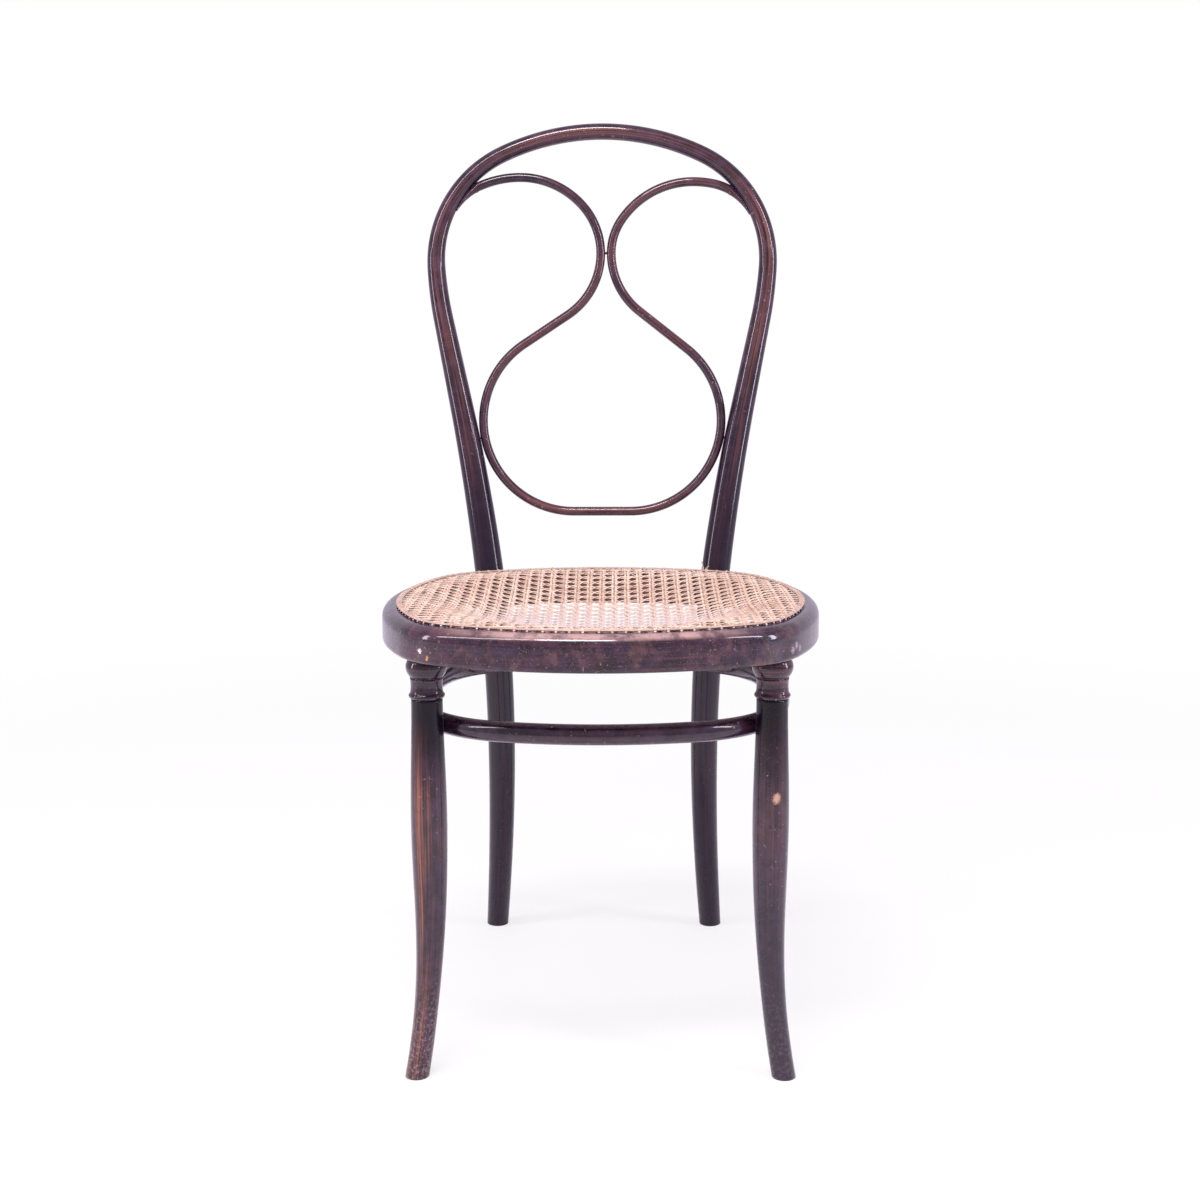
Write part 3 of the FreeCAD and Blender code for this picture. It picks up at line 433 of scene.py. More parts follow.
RING_INSIDE = (0.160, 0.075, 0.045)
RING_BARE = (0.130, 0.060, 0.060)
# Pale band on the ring's top front rounding: partly rubbed wear and partly a painted highlight.
RING_WEAR_AND_HIGHLIGHT = (0.46, 0.29, 0.27)
INSIDE_FADE = 0.002
BARE_SCALE = 48.0
WEAR_AND_HIGHLIGHT_SCALE = 60.0
WEAR_AND_HIGHLIGHT_HEIGHTS = ((SEAT_TOP - 5.5) * MM, (SEAT_TOP - 2.5) * MM)
WEAR_AND_HIGHLIGHT_MIDDLE = (0.0, -0.257, 0.438)
WEAR_AND_HIGHLIGHT_REACH = (0.08, 0.16)
RING_MARKS = (
    (((-0.1628, -0.2097, 0.4182),), 0.0035, (0.80, 0.74, 0.72), 1.0),
    (((-0.1560, -0.2153, 0.4114), (-0.1556, -0.2155, 0.4135)), 0.0022, (0.60, 0.25, 0.10), 1.0),
    (((-0.1735, -0.1990, 0.4265), (-0.1704, -0.2021, 0.4260), (-0.1670, -0.2055, 0.4247)), 0.0022,
     (0.010, 0.003, 0.006), 1.0),
    (((0.1693, -0.2033, 0.4130), (0.1715, -0.2007, 0.4170), (0.1743, -0.1974, 0.4240)), 0.0030,
     (0.008, 0.003, 0.008), 1.0),
    (((0.1776, -0.1929, 0.4157), (0.1815, -0.1865, 0.4190), (0.1855, -0.1792, 0.4150)), 0.0050,
     (0.34, 0.27, 0.33), 0.8),
)


def oval(half_width, half_depth, corner, fullness, centre_y):
    """A rounded oval as eight tangent arcs: centre, radius, first and last angle. The
    corners' centres lie out by the fullness, as a share of half the size less the corner's
    radius, and each long side is the circle that touches two corners and the half size."""
    free_x, free_y = half_width - corner, half_depth - corner
    x, y = free_x * fullness, free_y * fullness
    reach = x * x + y * y
    back_x = (reach - free_x ** 2) / (2.0 * (free_x - x))
    back_y = (reach - free_y ** 2) / (2.0 * (free_y - y))
    low, high = math.atan2(y, x + back_x), math.atan2(y + back_y, x)
    quarters = [(-back_x, 0.0, half_width + back_x, -low, low), (x, y, corner, low, high),
                (0.0, -back_y, half_depth + back_y, high, math.pi - high),
                (-x, y, corner, math.pi - high, math.pi - low)]
    turned = [(-cx, -cy, radius, first + math.pi, last + math.pi) for cx, cy, radius, first, last in quarters]
    return [(cx, cy + centre_y, radius, first, last) for cx, cy, radius, first, last in quarters + turned]


def oval_line(arcs, step):
    """Even places along an oval, at centre + radius * (cos, sin) of the arc that holds
    each, with the level directions outwards there and the whole length."""
    spans = np.array([radius * (last - first) for _, _, radius, first, last in arcs])
    run = np.linspace(0.0, spans.sum(), int(spans.sum() / step), endpoint=False)
    index = np.searchsorted(np.cumsum(spans), run, side="right")
    cx, cy, radius, first, _ = np.array(arcs)[index].T
    angle = first + (run - (np.cumsum(spans) - spans)[index]) / radius
    out = np.stack([np.cos(angle), np.sin(angle), np.zeros(len(run))], 1)
    return np.stack([cx, cy, np.zeros(len(run))], 1) + out * radius[:, None], out, spans.sum()


def beyond(arcs, x, y):
    """How far outside an oval each place lies, and the level direction outwards: the
    largest value among the arcs whose wedge holds the place."""
    far = np.full(np.shape(x), -np.inf)
    out = np.zeros(np.shape(x) + (3,))
    for cx, cy, radius, first, last in arcs:
        dx, dy = x - cx, y - cy
        reach = np.hypot(dx, dy)
        held = ((np.arctan2(dy, dx) - first) % (2.0 * math.pi) <= last - first) & (reach - radius > far)
        far = np.where(held, reach - radius, far)
        side = np.stack([dx / reach, dy / reach, np.zeros(np.shape(x))], -1)
        out = np.where(held[..., None], side, out)
    return far, out


def ring_profile(width, low, high, rounds):
    """Section of the ring as (inset, height), even along a rectangle with a quarter
    circle at each corner: outer bottom, outer top, inner top, inner bottom."""
    corners = [(0.0, low, rounds[0], 1, 1), (0.0, high, rounds[1], 1, -1),
               (width, high, rounds[2], -1, -1), (width, low, rounds[3], -1, 1)]
    quarters = []
    for (inset, height, radius, right, up), start in zip(corners, (-90.0, 180.0, 90.0, 0.0)):
        angle = math.radians(start) - np.linspace(0.0, math.pi / 2, ROUND_POINTS)
        centre = (inset + right * radius, height + up * radius)
        quarters.append(np.stack([centre[0] + radius * np.cos(angle), centre[1] + radius * np.sin(angle)], 1))
    outline = np.vstack(quarters + [quarters[0][:1]])
    run = lengths(outline)
    even = np.linspace(0.0, run[-1], int(run[-1] / PROFILE_STEP), endpoint=False)
    return np.stack([np.interp(even, run, outline[:, 0]), np.interp(even, run, outline[:, 1])], 1), run[-1]


def swept(line, out, section):
    """Rings of a section carried along an oval: (inset, height) stands inwards from the
    line by the inset, at the height."""
    rings = line[:, None] - section[None, :, :1] * out[:, None]
    rings[:, :, 2] = section[None, :, 1]
    return rings


seat_arcs = oval(RING_HALF_WIDTH, RING_HALF_DEPTH, RING_CORNER, RING_FULLNESS, DEPTH_SHIFT)
seat_line, seat_out, seat_length = oval_line(seat_arcs, RING_STEP)
seat_run = np.linspace(0.0, seat_length, len(seat_line) + 1)
section, section_length = ring_profile(RING_WIDTH, SEAT_TOP - RING_HEIGHT, SEAT_TOP, RING_ROUNDS)
seat_ring = surface("seat_ring_wood", swept(seat_line, seat_out, section), seat_run,
                    np.linspace(0.0, section_length, len(section) + 1), closed=True)
ring_finish = shellac("seat_ring_shellac", warm=0.25, worn=0.7)
round_section = ring_finish.part(ring_finish.along(1.0, 1.0), "Y")
inner_wall = np.flatnonzero(section[:, 0] > RING_WIDTH - 0.5)[[0, -1]]
wall = inner_wall * section_length / len(section) * MM
inside = ring_finish.times(ring_finish.between(round_section, wall[0] - INSIDE_FADE, wall[0]),
                           ring_finish.between(round_section, wall[1], wall[1] + INSIDE_FADE, 1.0, 0.0))
ring_finish.stain(ring_finish.times(inside, 0.8), RING_INSIDE)
blotches = ring_finish.noise(ring_finish.place, BARE_SCALE, 4.0, 0.65)
ring_finish.stain(ring_finish.between(blotches, 0.54, 0.66, 0.0, 0.6), RING_BARE)
# Pale band along the top front rounding of the ring, fading out to the sides and broken by noise: partly
# rubbed wear, partly a painted highlight of light on that edge.
worn_and_lit_edge = ring_finish.times(ring_finish.height(*WEAR_AND_HIGHLIGHT_HEIGHTS, 0.0, 1.0),
                         ring_finish.near([WEAR_AND_HIGHLIGHT_MIDDLE], *WEAR_AND_HIGHLIGHT_REACH))
wear_and_highlight_breakup = ring_finish.noise(ring_finish.place, WEAR_AND_HIGHLIGHT_SCALE, 4.0, 0.65)
ring_finish.stain(ring_finish.times(worn_and_lit_edge, ring_finish.between(wear_and_highlight_breakup, 0.35, 0.55, 0.25, 1.0)), RING_WEAR_AND_HIGHLIGHT)
for mark in RING_MARKS:
    ring_finish.chip(*mark)
finished(seat_ring, ring_finish.material, "stained_wood", "seat_ring")

# Seat bolts
# One bolt through each upright into the ring, with a washer and a square nut inside the
# ring. Its domed slotted head is sunk in the back of the upright, so the hoop's skin and
# finish are made here, once the recesses for the heads are pressed into it.
BOLT_HEIGHT = SEAT_TOP - RING_HEIGHT / 2.0
BOLT_HEAD_RADIUS = 7.15
BOLT_SINK = 2.4
RECESS_WALL = 0.2
# Painted shade over the hoop's lower uprights and rear legs, and the heights over which it fades in.
HOOP_PAINTED_SHADE = (0.008, 0.003, 0.014)
HOOP_PAINTED_SHADE_HEIGHTS = (0.50, 0.68)


def pressed(rings, centre, axis, radius, depth):
    """Press a round recess into a surface: points within a radius of an axis move
    along it to the depth, by a share that falls to none over the recess's wall."""
    away = rings - centre
    level = (away * axis).sum(-1, keepdims=True)
    distance = np.linalg.norm(away - level * axis, axis=-1, keepdims=True)
    share = np.clip((radius - distance) / (RECESS_WALL * radius), 0.0, 1.0)
    this_side = (level > -radius) & (level < radius)
    return rings + np.where(this_side, share * np.maximum(depth - level, 0.0), 0.0) * axis


bolt_row = int(np.argmin(np.abs(right_line[:, 2] - BOLT_HEIGHT)))
bolt_centre = right_line[bolt_row]
bolt_out = beyond(seat_arcs, bolt_centre[0], bolt_centre[1])[1]
for side in (RIGHT, LEFT):
    head = (bolt_centre + bolt_out * right_radius[bolt_row]) * side
    hoop_rings = pressed(hoop_rings, head, -bolt_out * side, BOLT_HEAD_RADIUS, BOLT_SINK)
hoop = surface("hoop_wood", hoop_rings, hoop_run, round_turn(HOOP_MEAN_DIAMETER))
hoop_finish = shellac("hoop_shellac", warm=0.3, worn=0.6, crest=(HOOP_MEAN_DIAMETER, 0.0, 0.5))
# Painted shade: the hoop darkens towards near black from 0.68 m down to 0.50 m and below, over the uprights
# near the seat and the rear legs, and its coat is thinner there.
hoop_finish.stain(hoop_finish.height(*HOOP_PAINTED_SHADE_HEIGHTS, 0.85, 0.0), HOOP_PAINTED_SHADE)
hoop_finish.shade(Coat_Weight=hoop_finish.height(*HOOP_PAINTED_SHADE_HEIGHTS, 0.6, 0.9))
finished(hoop, hoop_finish.material, "stained_wood", "back_hoop")

# Back loop
# A thin rod bent into a round bow below and two curls above, which touch in the middle.
# Its feathered ends lie against the hoop's shoulders, and small screws hold it.
LOOP_RADIUS = 5.0
BOW_HEIGHT = 166.8
BOW_RADIUS = 101.3
BOW_OFFSET = 31.4426
CURL_HEIGHT = 351.8
CURL_RADIUS = 81.5
CURL_HALF_SPACE = 5.85
CURL_SHIFT = 4.5
RIGHT_CURL_RISE = ((64.0, 34.0), (96.0, 56.0))  # radius and degrees, up from the curl's side
LEFT_CURL_RISE = ((78.0, 40.0), (93.0, 50.0))
CURL_EASE_RADIUS = 112.0
CURL_END_RADIUS = 67.0
TAIL_TIP_THICKNESS = 0.8
TAIL_ROWS = 28
TAIL_TRIES = 2000
MERGE_PASSES = 12
ROD_CLEARANCE = 0.2


def hoop_inside(turn):
    """Distance from the shoulder's centre to the hoop's inside, less a clearance: the
    shoulder's radius less the hoop's own at that place along it."""
    top = math.radians(HOOP_BENDS[0][1])
    run = HOOP_BENDS[0][0] * top + HOOP_BENDS[1][0] * (turn - top)
    return HOOP_BENDS[1][0] - hoop_radius_at(run / half_run[-1]) - ROD_CLEARANCE


def end_bend(ease):
    """Centre and angles of the bend whose inner edge runs out along the hoop's inside.
    Two circles touch where their centres are as far apart as their radii differ."""
    span = CURL_EASE_RADIUS - CURL_END_RADIUS
    dx, dy = ease[0] - shoulder[0], ease[1] - shoulder[1]
    merge = math.radians(HOOP_BENDS[0][1])
    for _ in range(MERGE_PASSES):
        apart = hoop_inside(merge) - CURL_END_RADIUS + LOOP_RADIUS
        level = (apart ** 2 - dx * dx - dy * dy - span * span) / (2.0 * span)
        turn = math.atan2(dx, dy) - math.acos(level / math.hypot(dx, dy))
        end = (ease[0] + span * math.sin(turn), ease[1] + span * math.cos(turn))
        merge = math.atan2(end[0] - shoulder[0], end[1] - shoulder[1])
    return end, turn, merge


def room(end, angle):
    """Room between the end bend's inner edge and the hoop's inside, along its radius."""
    inner = CURL_END_RADIUS - LOOP_RADIUS
    x = end[0] + inner * np.sin(angle) - shoulder[0]
    y = end[1] + inner * np.cos(angle) - shoulder[1]
    along = x * np.sin(angle) + y * np.cos(angle)
    return np.sqrt(along ** 2 + hoop_inside(np.arctan2(x, y)) ** 2 - x * x - y * y) - along


def loop_half(inner, rise):
    """One side of the loop, from the bow's lowest point to the tail's tip: the bow, a
    straight run, the curl in its arcs, and the tail, cut away to fit the hoop's inside."""
    down = math.pi / 2
    curl_centre = (inner + CURL_RADIUS, CURL_HEIGHT)
    away = (BOW_OFFSET - curl_centre[0], BOW_HEIGHT - CURL_HEIGHT)
    leave = math.atan2(away[1], away[0]) % (2.0 * math.pi)
    leave -= math.acos((CURL_RADIUS + BOW_RADIUS) / math.hypot(*away))
    bow = arc((BOW_OFFSET, BOW_HEIGHT), BOW_RADIUS, -down, leave - math.pi)
    curl = arc(curl_centre, CURL_RADIUS, leave, math.pi)
    runs, (x, y), angle = [bow, straight(bow[-1], curl[0]), curl], curl[-1], math.pi
    for radius, bend in rise:
        centre = (x - radius * math.cos(angle), y - radius * math.sin(angle))
        runs.append(arc(centre, radius, angle, angle - math.radians(bend)))
        angle -= math.radians(bend)
        x, y = runs[-1][-1]
    ease = (x, y - CURL_EASE_RADIUS)
    end, turn, merge = end_bend(ease)
    angles = np.linspace(turn, merge, TAIL_TRIES)
    meet, tip = np.interp((-2.0 * LOOP_RADIUS, -TAIL_TIP_THICKNESS), -room(end, angles), angles)
    runs.append(arc(ease, CURL_EASE_RADIUS, down, down - turn))
    runs.append(arc(end, CURL_END_RADIUS, down - turn, down - meet))
    even = joined(*runs)
    angles = np.linspace(meet, tip, TAIL_ROWS)[1:]
    thickness = room(end, angles)
    reach = CURL_END_RADIUS - LOOP_RADIUS + thickness / 2.0
    tail = np.stack([end[0] + reach * np.sin(angles), end[1] + reach * np.cos(angles)], 1)
    full = np.full(len(even), LOOP_RADIUS)
    width = np.concatenate([full, (LOOP_RADIUS + thickness / 2.0) / 2.0])
    return np.vstack([even, tail]), width, np.concatenate([full, thickness / 2.0])


right_loop, right_width, right_depth = loop_half(CURL_HALF_SPACE + CURL_SHIFT, RIGHT_CURL_RISE)
left_loop, left_width, left_depth = loop_half(CURL_HALF_SPACE - CURL_SHIFT, LEFT_CURL_RISE)
bottom = straight((-BOW_OFFSET, BOW_HEIGHT - BOW_RADIUS), (BOW_OFFSET, BOW_HEIGHT - BOW_RADIUS))[1:-1]
bottom_radius = np.full(len(bottom), LOOP_RADIUS)
loop_line = on_back(np.vstack([left_loop[::-1] * LEFT[:2], bottom, right_loop]))
loop_rings = tube(loop_line, np.concatenate([left_width[::-1], bottom_radius, right_width]), back_normal,
                  depths=np.concatenate([left_depth[::-1], bottom_radius, right_depth]))
loop = surface("loop_wood", loop_rings, lengths(loop_line), round_turn(2.0 * LOOP_RADIUS), smooth_ends=True)
loop_finish = shellac("loop_shellac", warm=0.6, worn=0.7, crest=(2.0 * LOOP_RADIUS, 0.0, 0.5))
finished(loop, loop_finish.material, "stained_wood", "back_loop")

# Front legs
# Turned beech, with a belly, an ankle and a foot steamed to sweep forwards and outwards.
# A tenon at the top passes up through the capital into the ring.
CAPITAL_HEIGHT = 38.5
LEG_TOP = SEAT_TOP - RING_HEIGHT - CAPITAL_HEIGHT
LEG_PLACE = (161.0, -137.232 + DEPTH_SHIFT)
LEG_BELLY_HEIGHT = 250.0
LEG_BELLY_DIAMETER = 34.5
LEG_ANKLE_HEIGHT = 50.0
LEG_ANKLE_DIAMETER = 23.0
LEG_TOP_DIAMETER = 29.5
LEG_MEAN_DIAMETER = 29.0
LEG_SWEEP = (14.5, -12.5)
LEG_SWEEP_HEIGHT = 190.0
LEG_SWEEP_POWER = 2.3

LEG_RUBBED = (0.30, 0.095, 0.045)
# Painted shade on the top of each front leg, under the capital and the seat ring, and the heights over which
# it fades in.
LEG_PAINTED_SHADE = (0.003, 0.001, 0.006)
LEG_PAINTED_SHADE_HEIGHTS = (0.28, 0.35)
LEG_DULL_HEIGHTS = (0.26, 0.33)
LEG_KICKED = (0.32, 0.22, 0.22)
KICK_HEIGHTS = (0.03, 0.10)
KICK_SCALE = 300.0
RIGHT_FOOT_SHADE = (0.008, 0.006, 0.020)
RIGHT_FOOT_HEIGHTS = (0.05, 0.24)
RIGHT_LEG_MARKS = (
    (((0.1647, -0.1909, 0.2735), (0.1652, -0.1908, 0.2760)), 0.0055, (0.50, 0.30, 0.20)),
    (((0.1590, -0.1914, 0.2470), (0.1640, -0.1912, 0.2485), (0.1685, -0.1897, 0.2465),
      (0.1744, -0.1851, 0.2429)), 0.0024, (0.006, 0.002, 0.005)),
)


def leg_rings():
    """Level rings from the floor up: the diameter eases between ankle, belly and top,
    and the centre sweeps off with (1 - z / height) ^ power below the knee."""
    z = np.linspace(0.0, LEG_TOP, int(LEG_TOP / ROD_STEP))
    sweep = np.maximum(0.0, 1.0 - z / LEG_SWEEP_HEIGHT) ** LEG_SWEEP_POWER
    below = LEG_BELLY_DIAMETER + (LEG_ANKLE_DIAMETER - LEG_BELLY_DIAMETER) * smoothstep(
        (LEG_BELLY_HEIGHT - z) / (LEG_BELLY_HEIGHT - LEG_ANKLE_HEIGHT))
    above = LEG_BELLY_DIAMETER + (LEG_TOP_DIAMETER - LEG_BELLY_DIAMETER) * smoothstep(
        (z - LEG_BELLY_HEIGHT) / (LEG_TOP - LEG_BELLY_HEIGHT))
    radius = np.where(z > LEG_BELLY_HEIGHT, above, below) / 2.0
    angle = np.linspace(0.0, 2.0 * math.pi, ROD_SIDES, endpoint=False)
    x = LEG_PLACE[0] + LEG_SWEEP[0] * sweep[:, None] + radius[:, None] * np.cos(angle)
    y = LEG_PLACE[1] + LEG_SWEEP[1] * sweep[:, None] + radius[:, None] * np.sin(angle)
    return np.stack([x, y, np.repeat(z[:, None], ROD_SIDES, 1)], 2), z


right_leg, leg_run = leg_rings()
for name, side, warm, place, strength in (("right", RIGHT, 0.1, 0.75, 0.15), ("left", LEFT, 0.6, 0.84, 0.85)):
    leg = surface("front_leg_wood_" + name, right_leg * side, leg_run, round_turn(LEG_MEAN_DIAMETER))
    leg_finish = shellac("leg_shellac_" + name, warm=warm, worn=0.55,
                         crest=(LEG_MEAN_DIAMETER, place, strength), rubbed=LEG_RUBBED)
    # Painted shade: the top of each front leg, under the capital and the seat ring, darkens to near black
    # from 0.28 m up to 0.35 m, and its coat is thinner from 0.26 m up.
    leg_finish.stain(leg_finish.height(*LEG_PAINTED_SHADE_HEIGHTS, 0.0, 0.95), LEG_PAINTED_SHADE)
    leg_finish.shade(Coat_Weight=leg_finish.height(*LEG_DULL_HEIGHTS, 0.9, 0.35))
    kicks = leg_finish.between(leg_finish.noise(leg_finish.place, KICK_SCALE, 4.0, 0.7), 0.5, 0.62, 0.0, 0.6)
    leg_finish.stain(leg_finish.times(leg_finish.height(*KICK_HEIGHTS, 1.0, 0.0), kicks), LEG_KICKED)
    if name == "right":
        # Darker and bluer towards the foot of the right leg, from 0.24 m down to 0.05 m.
        leg_finish.stain(leg_finish.height(*RIGHT_FOOT_HEIGHTS, 0.75, 0.0), RIGHT_FOOT_SHADE)
        for mark in RIGHT_LEG_MARKS:
            leg_finish.chip(*mark)
    finished(leg, leg_finish.material, "stained_wood", "front_leg_" + name)

# Capitals
# Turned collars between the front legs and the ring: a bead, a hollow neck, a scored
# groove and a bulb, bored through for the tenon.
CAPITAL_BORE = 10.15
CAPITAL_EDGE = 15.5
CAPITAL_BEAD = 17.0
CAPITAL_BEAD_TOP = 5.0
CAPITAL_NECK = 14.9
CAPITAL_GROOVE = 14.5
CAPITAL_GROOVE_LOW = 18.8
CAPITAL_GROOVE_HIGH = 20.2
CAPITAL_BULB = (19.25, 28.5)
CAPITAL_TOP = 16.0
CAPITAL_ROUND = 100.0
CAPITAL_RIM = 5.0
SMALL_ROUND = 0.25
CURVE_POINTS = 14
CAPITAL_RUNS = (
    ((CAPITAL_EDGE, 0.0), (CAPITAL_BEAD, CAPITAL_BEAD_TOP / 2.0), (CAPITAL_EDGE, CAPITAL_BEAD_TOP)),
    ((CAPITAL_EDGE, CAPITAL_BEAD_TOP), (CAPITAL_NECK, (CAPITAL_BEAD_TOP + CAPITAL_GROOVE_LOW) / 2.0),
     (CAPITAL_EDGE, CAPITAL_GROOVE_LOW)),
    ((CAPITAL_EDGE, CAPITAL_GROOVE_LOW), (CAPITAL_GROOVE, CAPITAL_GROOVE_LOW + SMALL_ROUND),
     (CAPITAL_GROOVE, CAPITAL_GROOVE_HIGH - SMALL_ROUND)),
    ((CAPITAL_GROOVE, CAPITAL_GROOVE_HIGH - SMALL_ROUND), (CAPITAL_GROOVE + SMALL_ROUND, CAPITAL_GROOVE_HIGH),
     (CAPITAL_EDGE, CAPITAL_GROOVE_HIGH)),
    ((CAPITAL_EDGE, CAPITAL_GROOVE_HIGH), CAPITAL_BULB, (CAPITAL_TOP, CAPITAL_HEIGHT)),
)


def through(one, two, three):
    """A flat curve through three (radius, height) places, as a parabola in each."""
    t = np.linspace(0.0, 1.0, CURVE_POINTS)[:, None]
    one, two, three = np.array(one), np.array(two), np.array(three)
    share = np.linalg.norm(two - one) / (np.linalg.norm(two - one) + np.linalg.norm(three - two))
    first = (t - share) * (t - 1.0) / share
    second = t * (t - 1.0) / (share * (share - 1.0))
    return one * first + two * second + three * t * (t - share) / (1.0 - share)


bore = np.array([[CAPITAL_BORE, CAPITAL_HEIGHT], [CAPITAL_BORE, 0.0]])
turning = joined(*(through(*run) for run in CAPITAL_RUNS), bore)
angle = np.linspace(0.0, 2.0 * math.pi, ROD_SIDES, endpoint=False)
right_capital = np.stack([LEG_PLACE[0] + turning[None, :, 0] * np.cos(angle)[:, None],
                          LEG_PLACE[1] + turning[None, :, 0] * np.sin(angle)[:, None],
                          LEG_TOP + np.repeat(turning[None, :, 1], ROD_SIDES, 0)], 2)
turning_run = np.append(lengths(turning), lengths(turning)[-1] + CAPITAL_RIM)
capital_turn = np.linspace(0.0, CAPITAL_ROUND, ROD_SIDES + 1)
for name, side, warm in (("right", RIGHT, 0.9), ("left", LEFT, 0.4)):
    capital = surface("capital_wood_" + name, right_capital * side, capital_turn, turning_run, closed=True)
    capital_finish = shellac("capital_shellac_" + name, warm=warm, worn=0.5)
    finished(capital, capital_finish.material, "stained_wood", "capital_" + name)

# Leg ring
# A round rod bent into an oval, bedded in shallow saddles on the inside of the four legs
# and held to each by a slotted screw from within.
LEG_RING_RADIUS = 9.75
LEG_RING_HEIGHT = 338.5
LEG_RING_HALF_WIDTH = 181.0
LEG_RING_HALF_DEPTH = 181.663
LEG_RING_CORNER = 110.0
LEG_RING_FULLNESS = 0.88
LEG_RING_MIDDLE = 15.745 + DEPTH_SHIFT
SCREW_HEAD_RADIUS = 4.35
SCREW_SINK = 1.4
LEG_RING_DENT = (((0.0082, -0.2126, 0.3379),), 0.0030, (0.010, 0.003, 0.006))

leg_ring_arcs = oval(LEG_RING_HALF_WIDTH, LEG_RING_HALF_DEPTH, LEG_RING_CORNER, LEG_RING_FULLNESS,
                     LEG_RING_MIDDLE)
leg_ring_line, _, leg_ring_length = oval_line(leg_ring_arcs, ROD_STEP)
leg_ring_line[:, 2] = LEG_RING_HEIGHT
leg_ring_rings = tube(leg_ring_line, np.full(len(leg_ring_line), LEG_RING_RADIUS), UP, closed=True)
rear = right_line[int(np.argmin(np.abs(right_line[:, 2] - LEG_RING_HEIGHT)))]
for x, y in (LEG_PLACE, rear[:2]):
    far, out = beyond(leg_ring_arcs, x, y)
    inner = np.array([x, y, LEG_RING_HEIGHT]) - out * (far + LEG_RING_RADIUS)
    for side in (RIGHT, LEFT):
        leg_ring_rings = pressed(leg_ring_rings, inner * side, out * side, SCREW_HEAD_RADIUS, SCREW_SINK)
leg_ring = surface("leg_ring_wood", leg_ring_rings, np.linspace(0.0, leg_ring_length, len(leg_ring_line) + 1),
                   round_turn(2.0 * LEG_RING_RADIUS), closed=True)
leg_ring_finish = shellac("leg_ring_shellac", warm=0.2, worn=0.4)
leg_ring_finish.chip(*LEG_RING_DENT)
finished(leg_ring, leg_ring_finish.material, "stained_wood", "leg_ring")

# Cane
# Split rattan woven in seven steps: pairs of strands from front to back and from side to
# side, and single strands on both diagonals. Years of sitting have dished it. Pegs hold
# its ends in the ring's holes, under a binder strip that is tied down.
CANE_SEED = 1873
HOLE_INSET = 17.0
WEAVE_PITCH = 13.4
PAIRS_EACH_SIDE = 17
DIAGONALS_EACH_SIDE = 26
COLUMN_HALF_SPACE = 1.65
ROW_HALF_SPACE = 1.5
COLUMN_HALF_WIDTH = 1.1
ROW_HALF_WIDTH = 1.0
DIAGONAL_HALF_WIDTH = 0.95
STRAND_THICKNESS = 0.5
STRAND_SECTION = np.array([[-1.0, -0.5], [-0.8, 0.25], [0.0, 0.5], [0.8, 0.25], [1.0, -0.5]])
STRAND_ROUND = 5.4
STRAND_STEP = WEAVE_PITCH / 8.0
STRAND_REACH = 290.0
STRAND_PROBE = 0.5
SHORTEST_STRAND = 20.0
STRAND_SPREAD = 1000.0
LEVEL_ENDS = 8.0
PAIR_WAVE = 0.3
DIAGONAL_WAVE = 0.65
PAIR_DRIFT = 0.2
DIAGONAL_DRIFT = 0.15
DRIFT_LENGTHS = (14.0, 9.0)
DISH_RADIUS = 182.0
DISH_SIDE_RADIUS = 179.0
DISH_SAG = 31.0
DISH_POWER = 1.35
WEAVE_MIDDLE = SEAT_TOP + 1.1

CANE_DARK = (0.52, 0.33, 0.24)
CANE_LIGHT = (0.90, 0.73, 0.60)
CANE_TAN = (0.58, 0.34, 0.27)
# Pale colour of the seat's middle: partly bleached by sitting, partly a painted sheen.
CANE_BLEACH_AND_SHEEN = (0.68, 0.56, 0.53)
CANE_FIBRE = (0.36, 0.18, 0.12)
FIBRE_SCALE = (25.0, 2600.0)
BLOTCH_SCALE = (30.0, 60.0)
TAN_SCALE = 18.0
FIBRE_DEPTH = 0.0002
SITTING_AND_SHEEN_PLACE = (0.0, -0.09, 0.41)
SITTING_AND_SHEEN_REACH = (0.07, 0.15)
SHELLAC_SPILL = (0.03, 0.015, 0.015)
CANE_SPILL = (((-0.1806, -0.0103, 0.4419), (-0.1790, -0.0040, 0.4419)), 0.0045, SHELLAC_SPILL, 0.9)

random = np.random.default_rng(CANE_SEED)


def dish(x, y):
    """Height of the weave's middle: level on the ring, and inside it a bowl whose
    depth is sag * (1 - (distance / radius)^2) ^ power."""
    distance = np.hypot(x * DISH_RADIUS / DISH_SIDE_RADIUS, y - DEPTH_SHIFT) / DISH_RADIUS
    return WEAVE_MIDDLE - DISH_SAG * (1.0 - distance.clip(0.0, 1.0) ** 2) ** DISH_POWER


def split_cane(middle, side, half_width, thickness):
    """Rings of a flat section with a low crown, carried along a line: the section's
    width lies along the side and its thickness stands up."""
    across = STRAND_SECTION[None, :, :1] * half_width * side
    return middle[:, None] + across + STRAND_SECTION[None, :, 1:] * thickness * UP


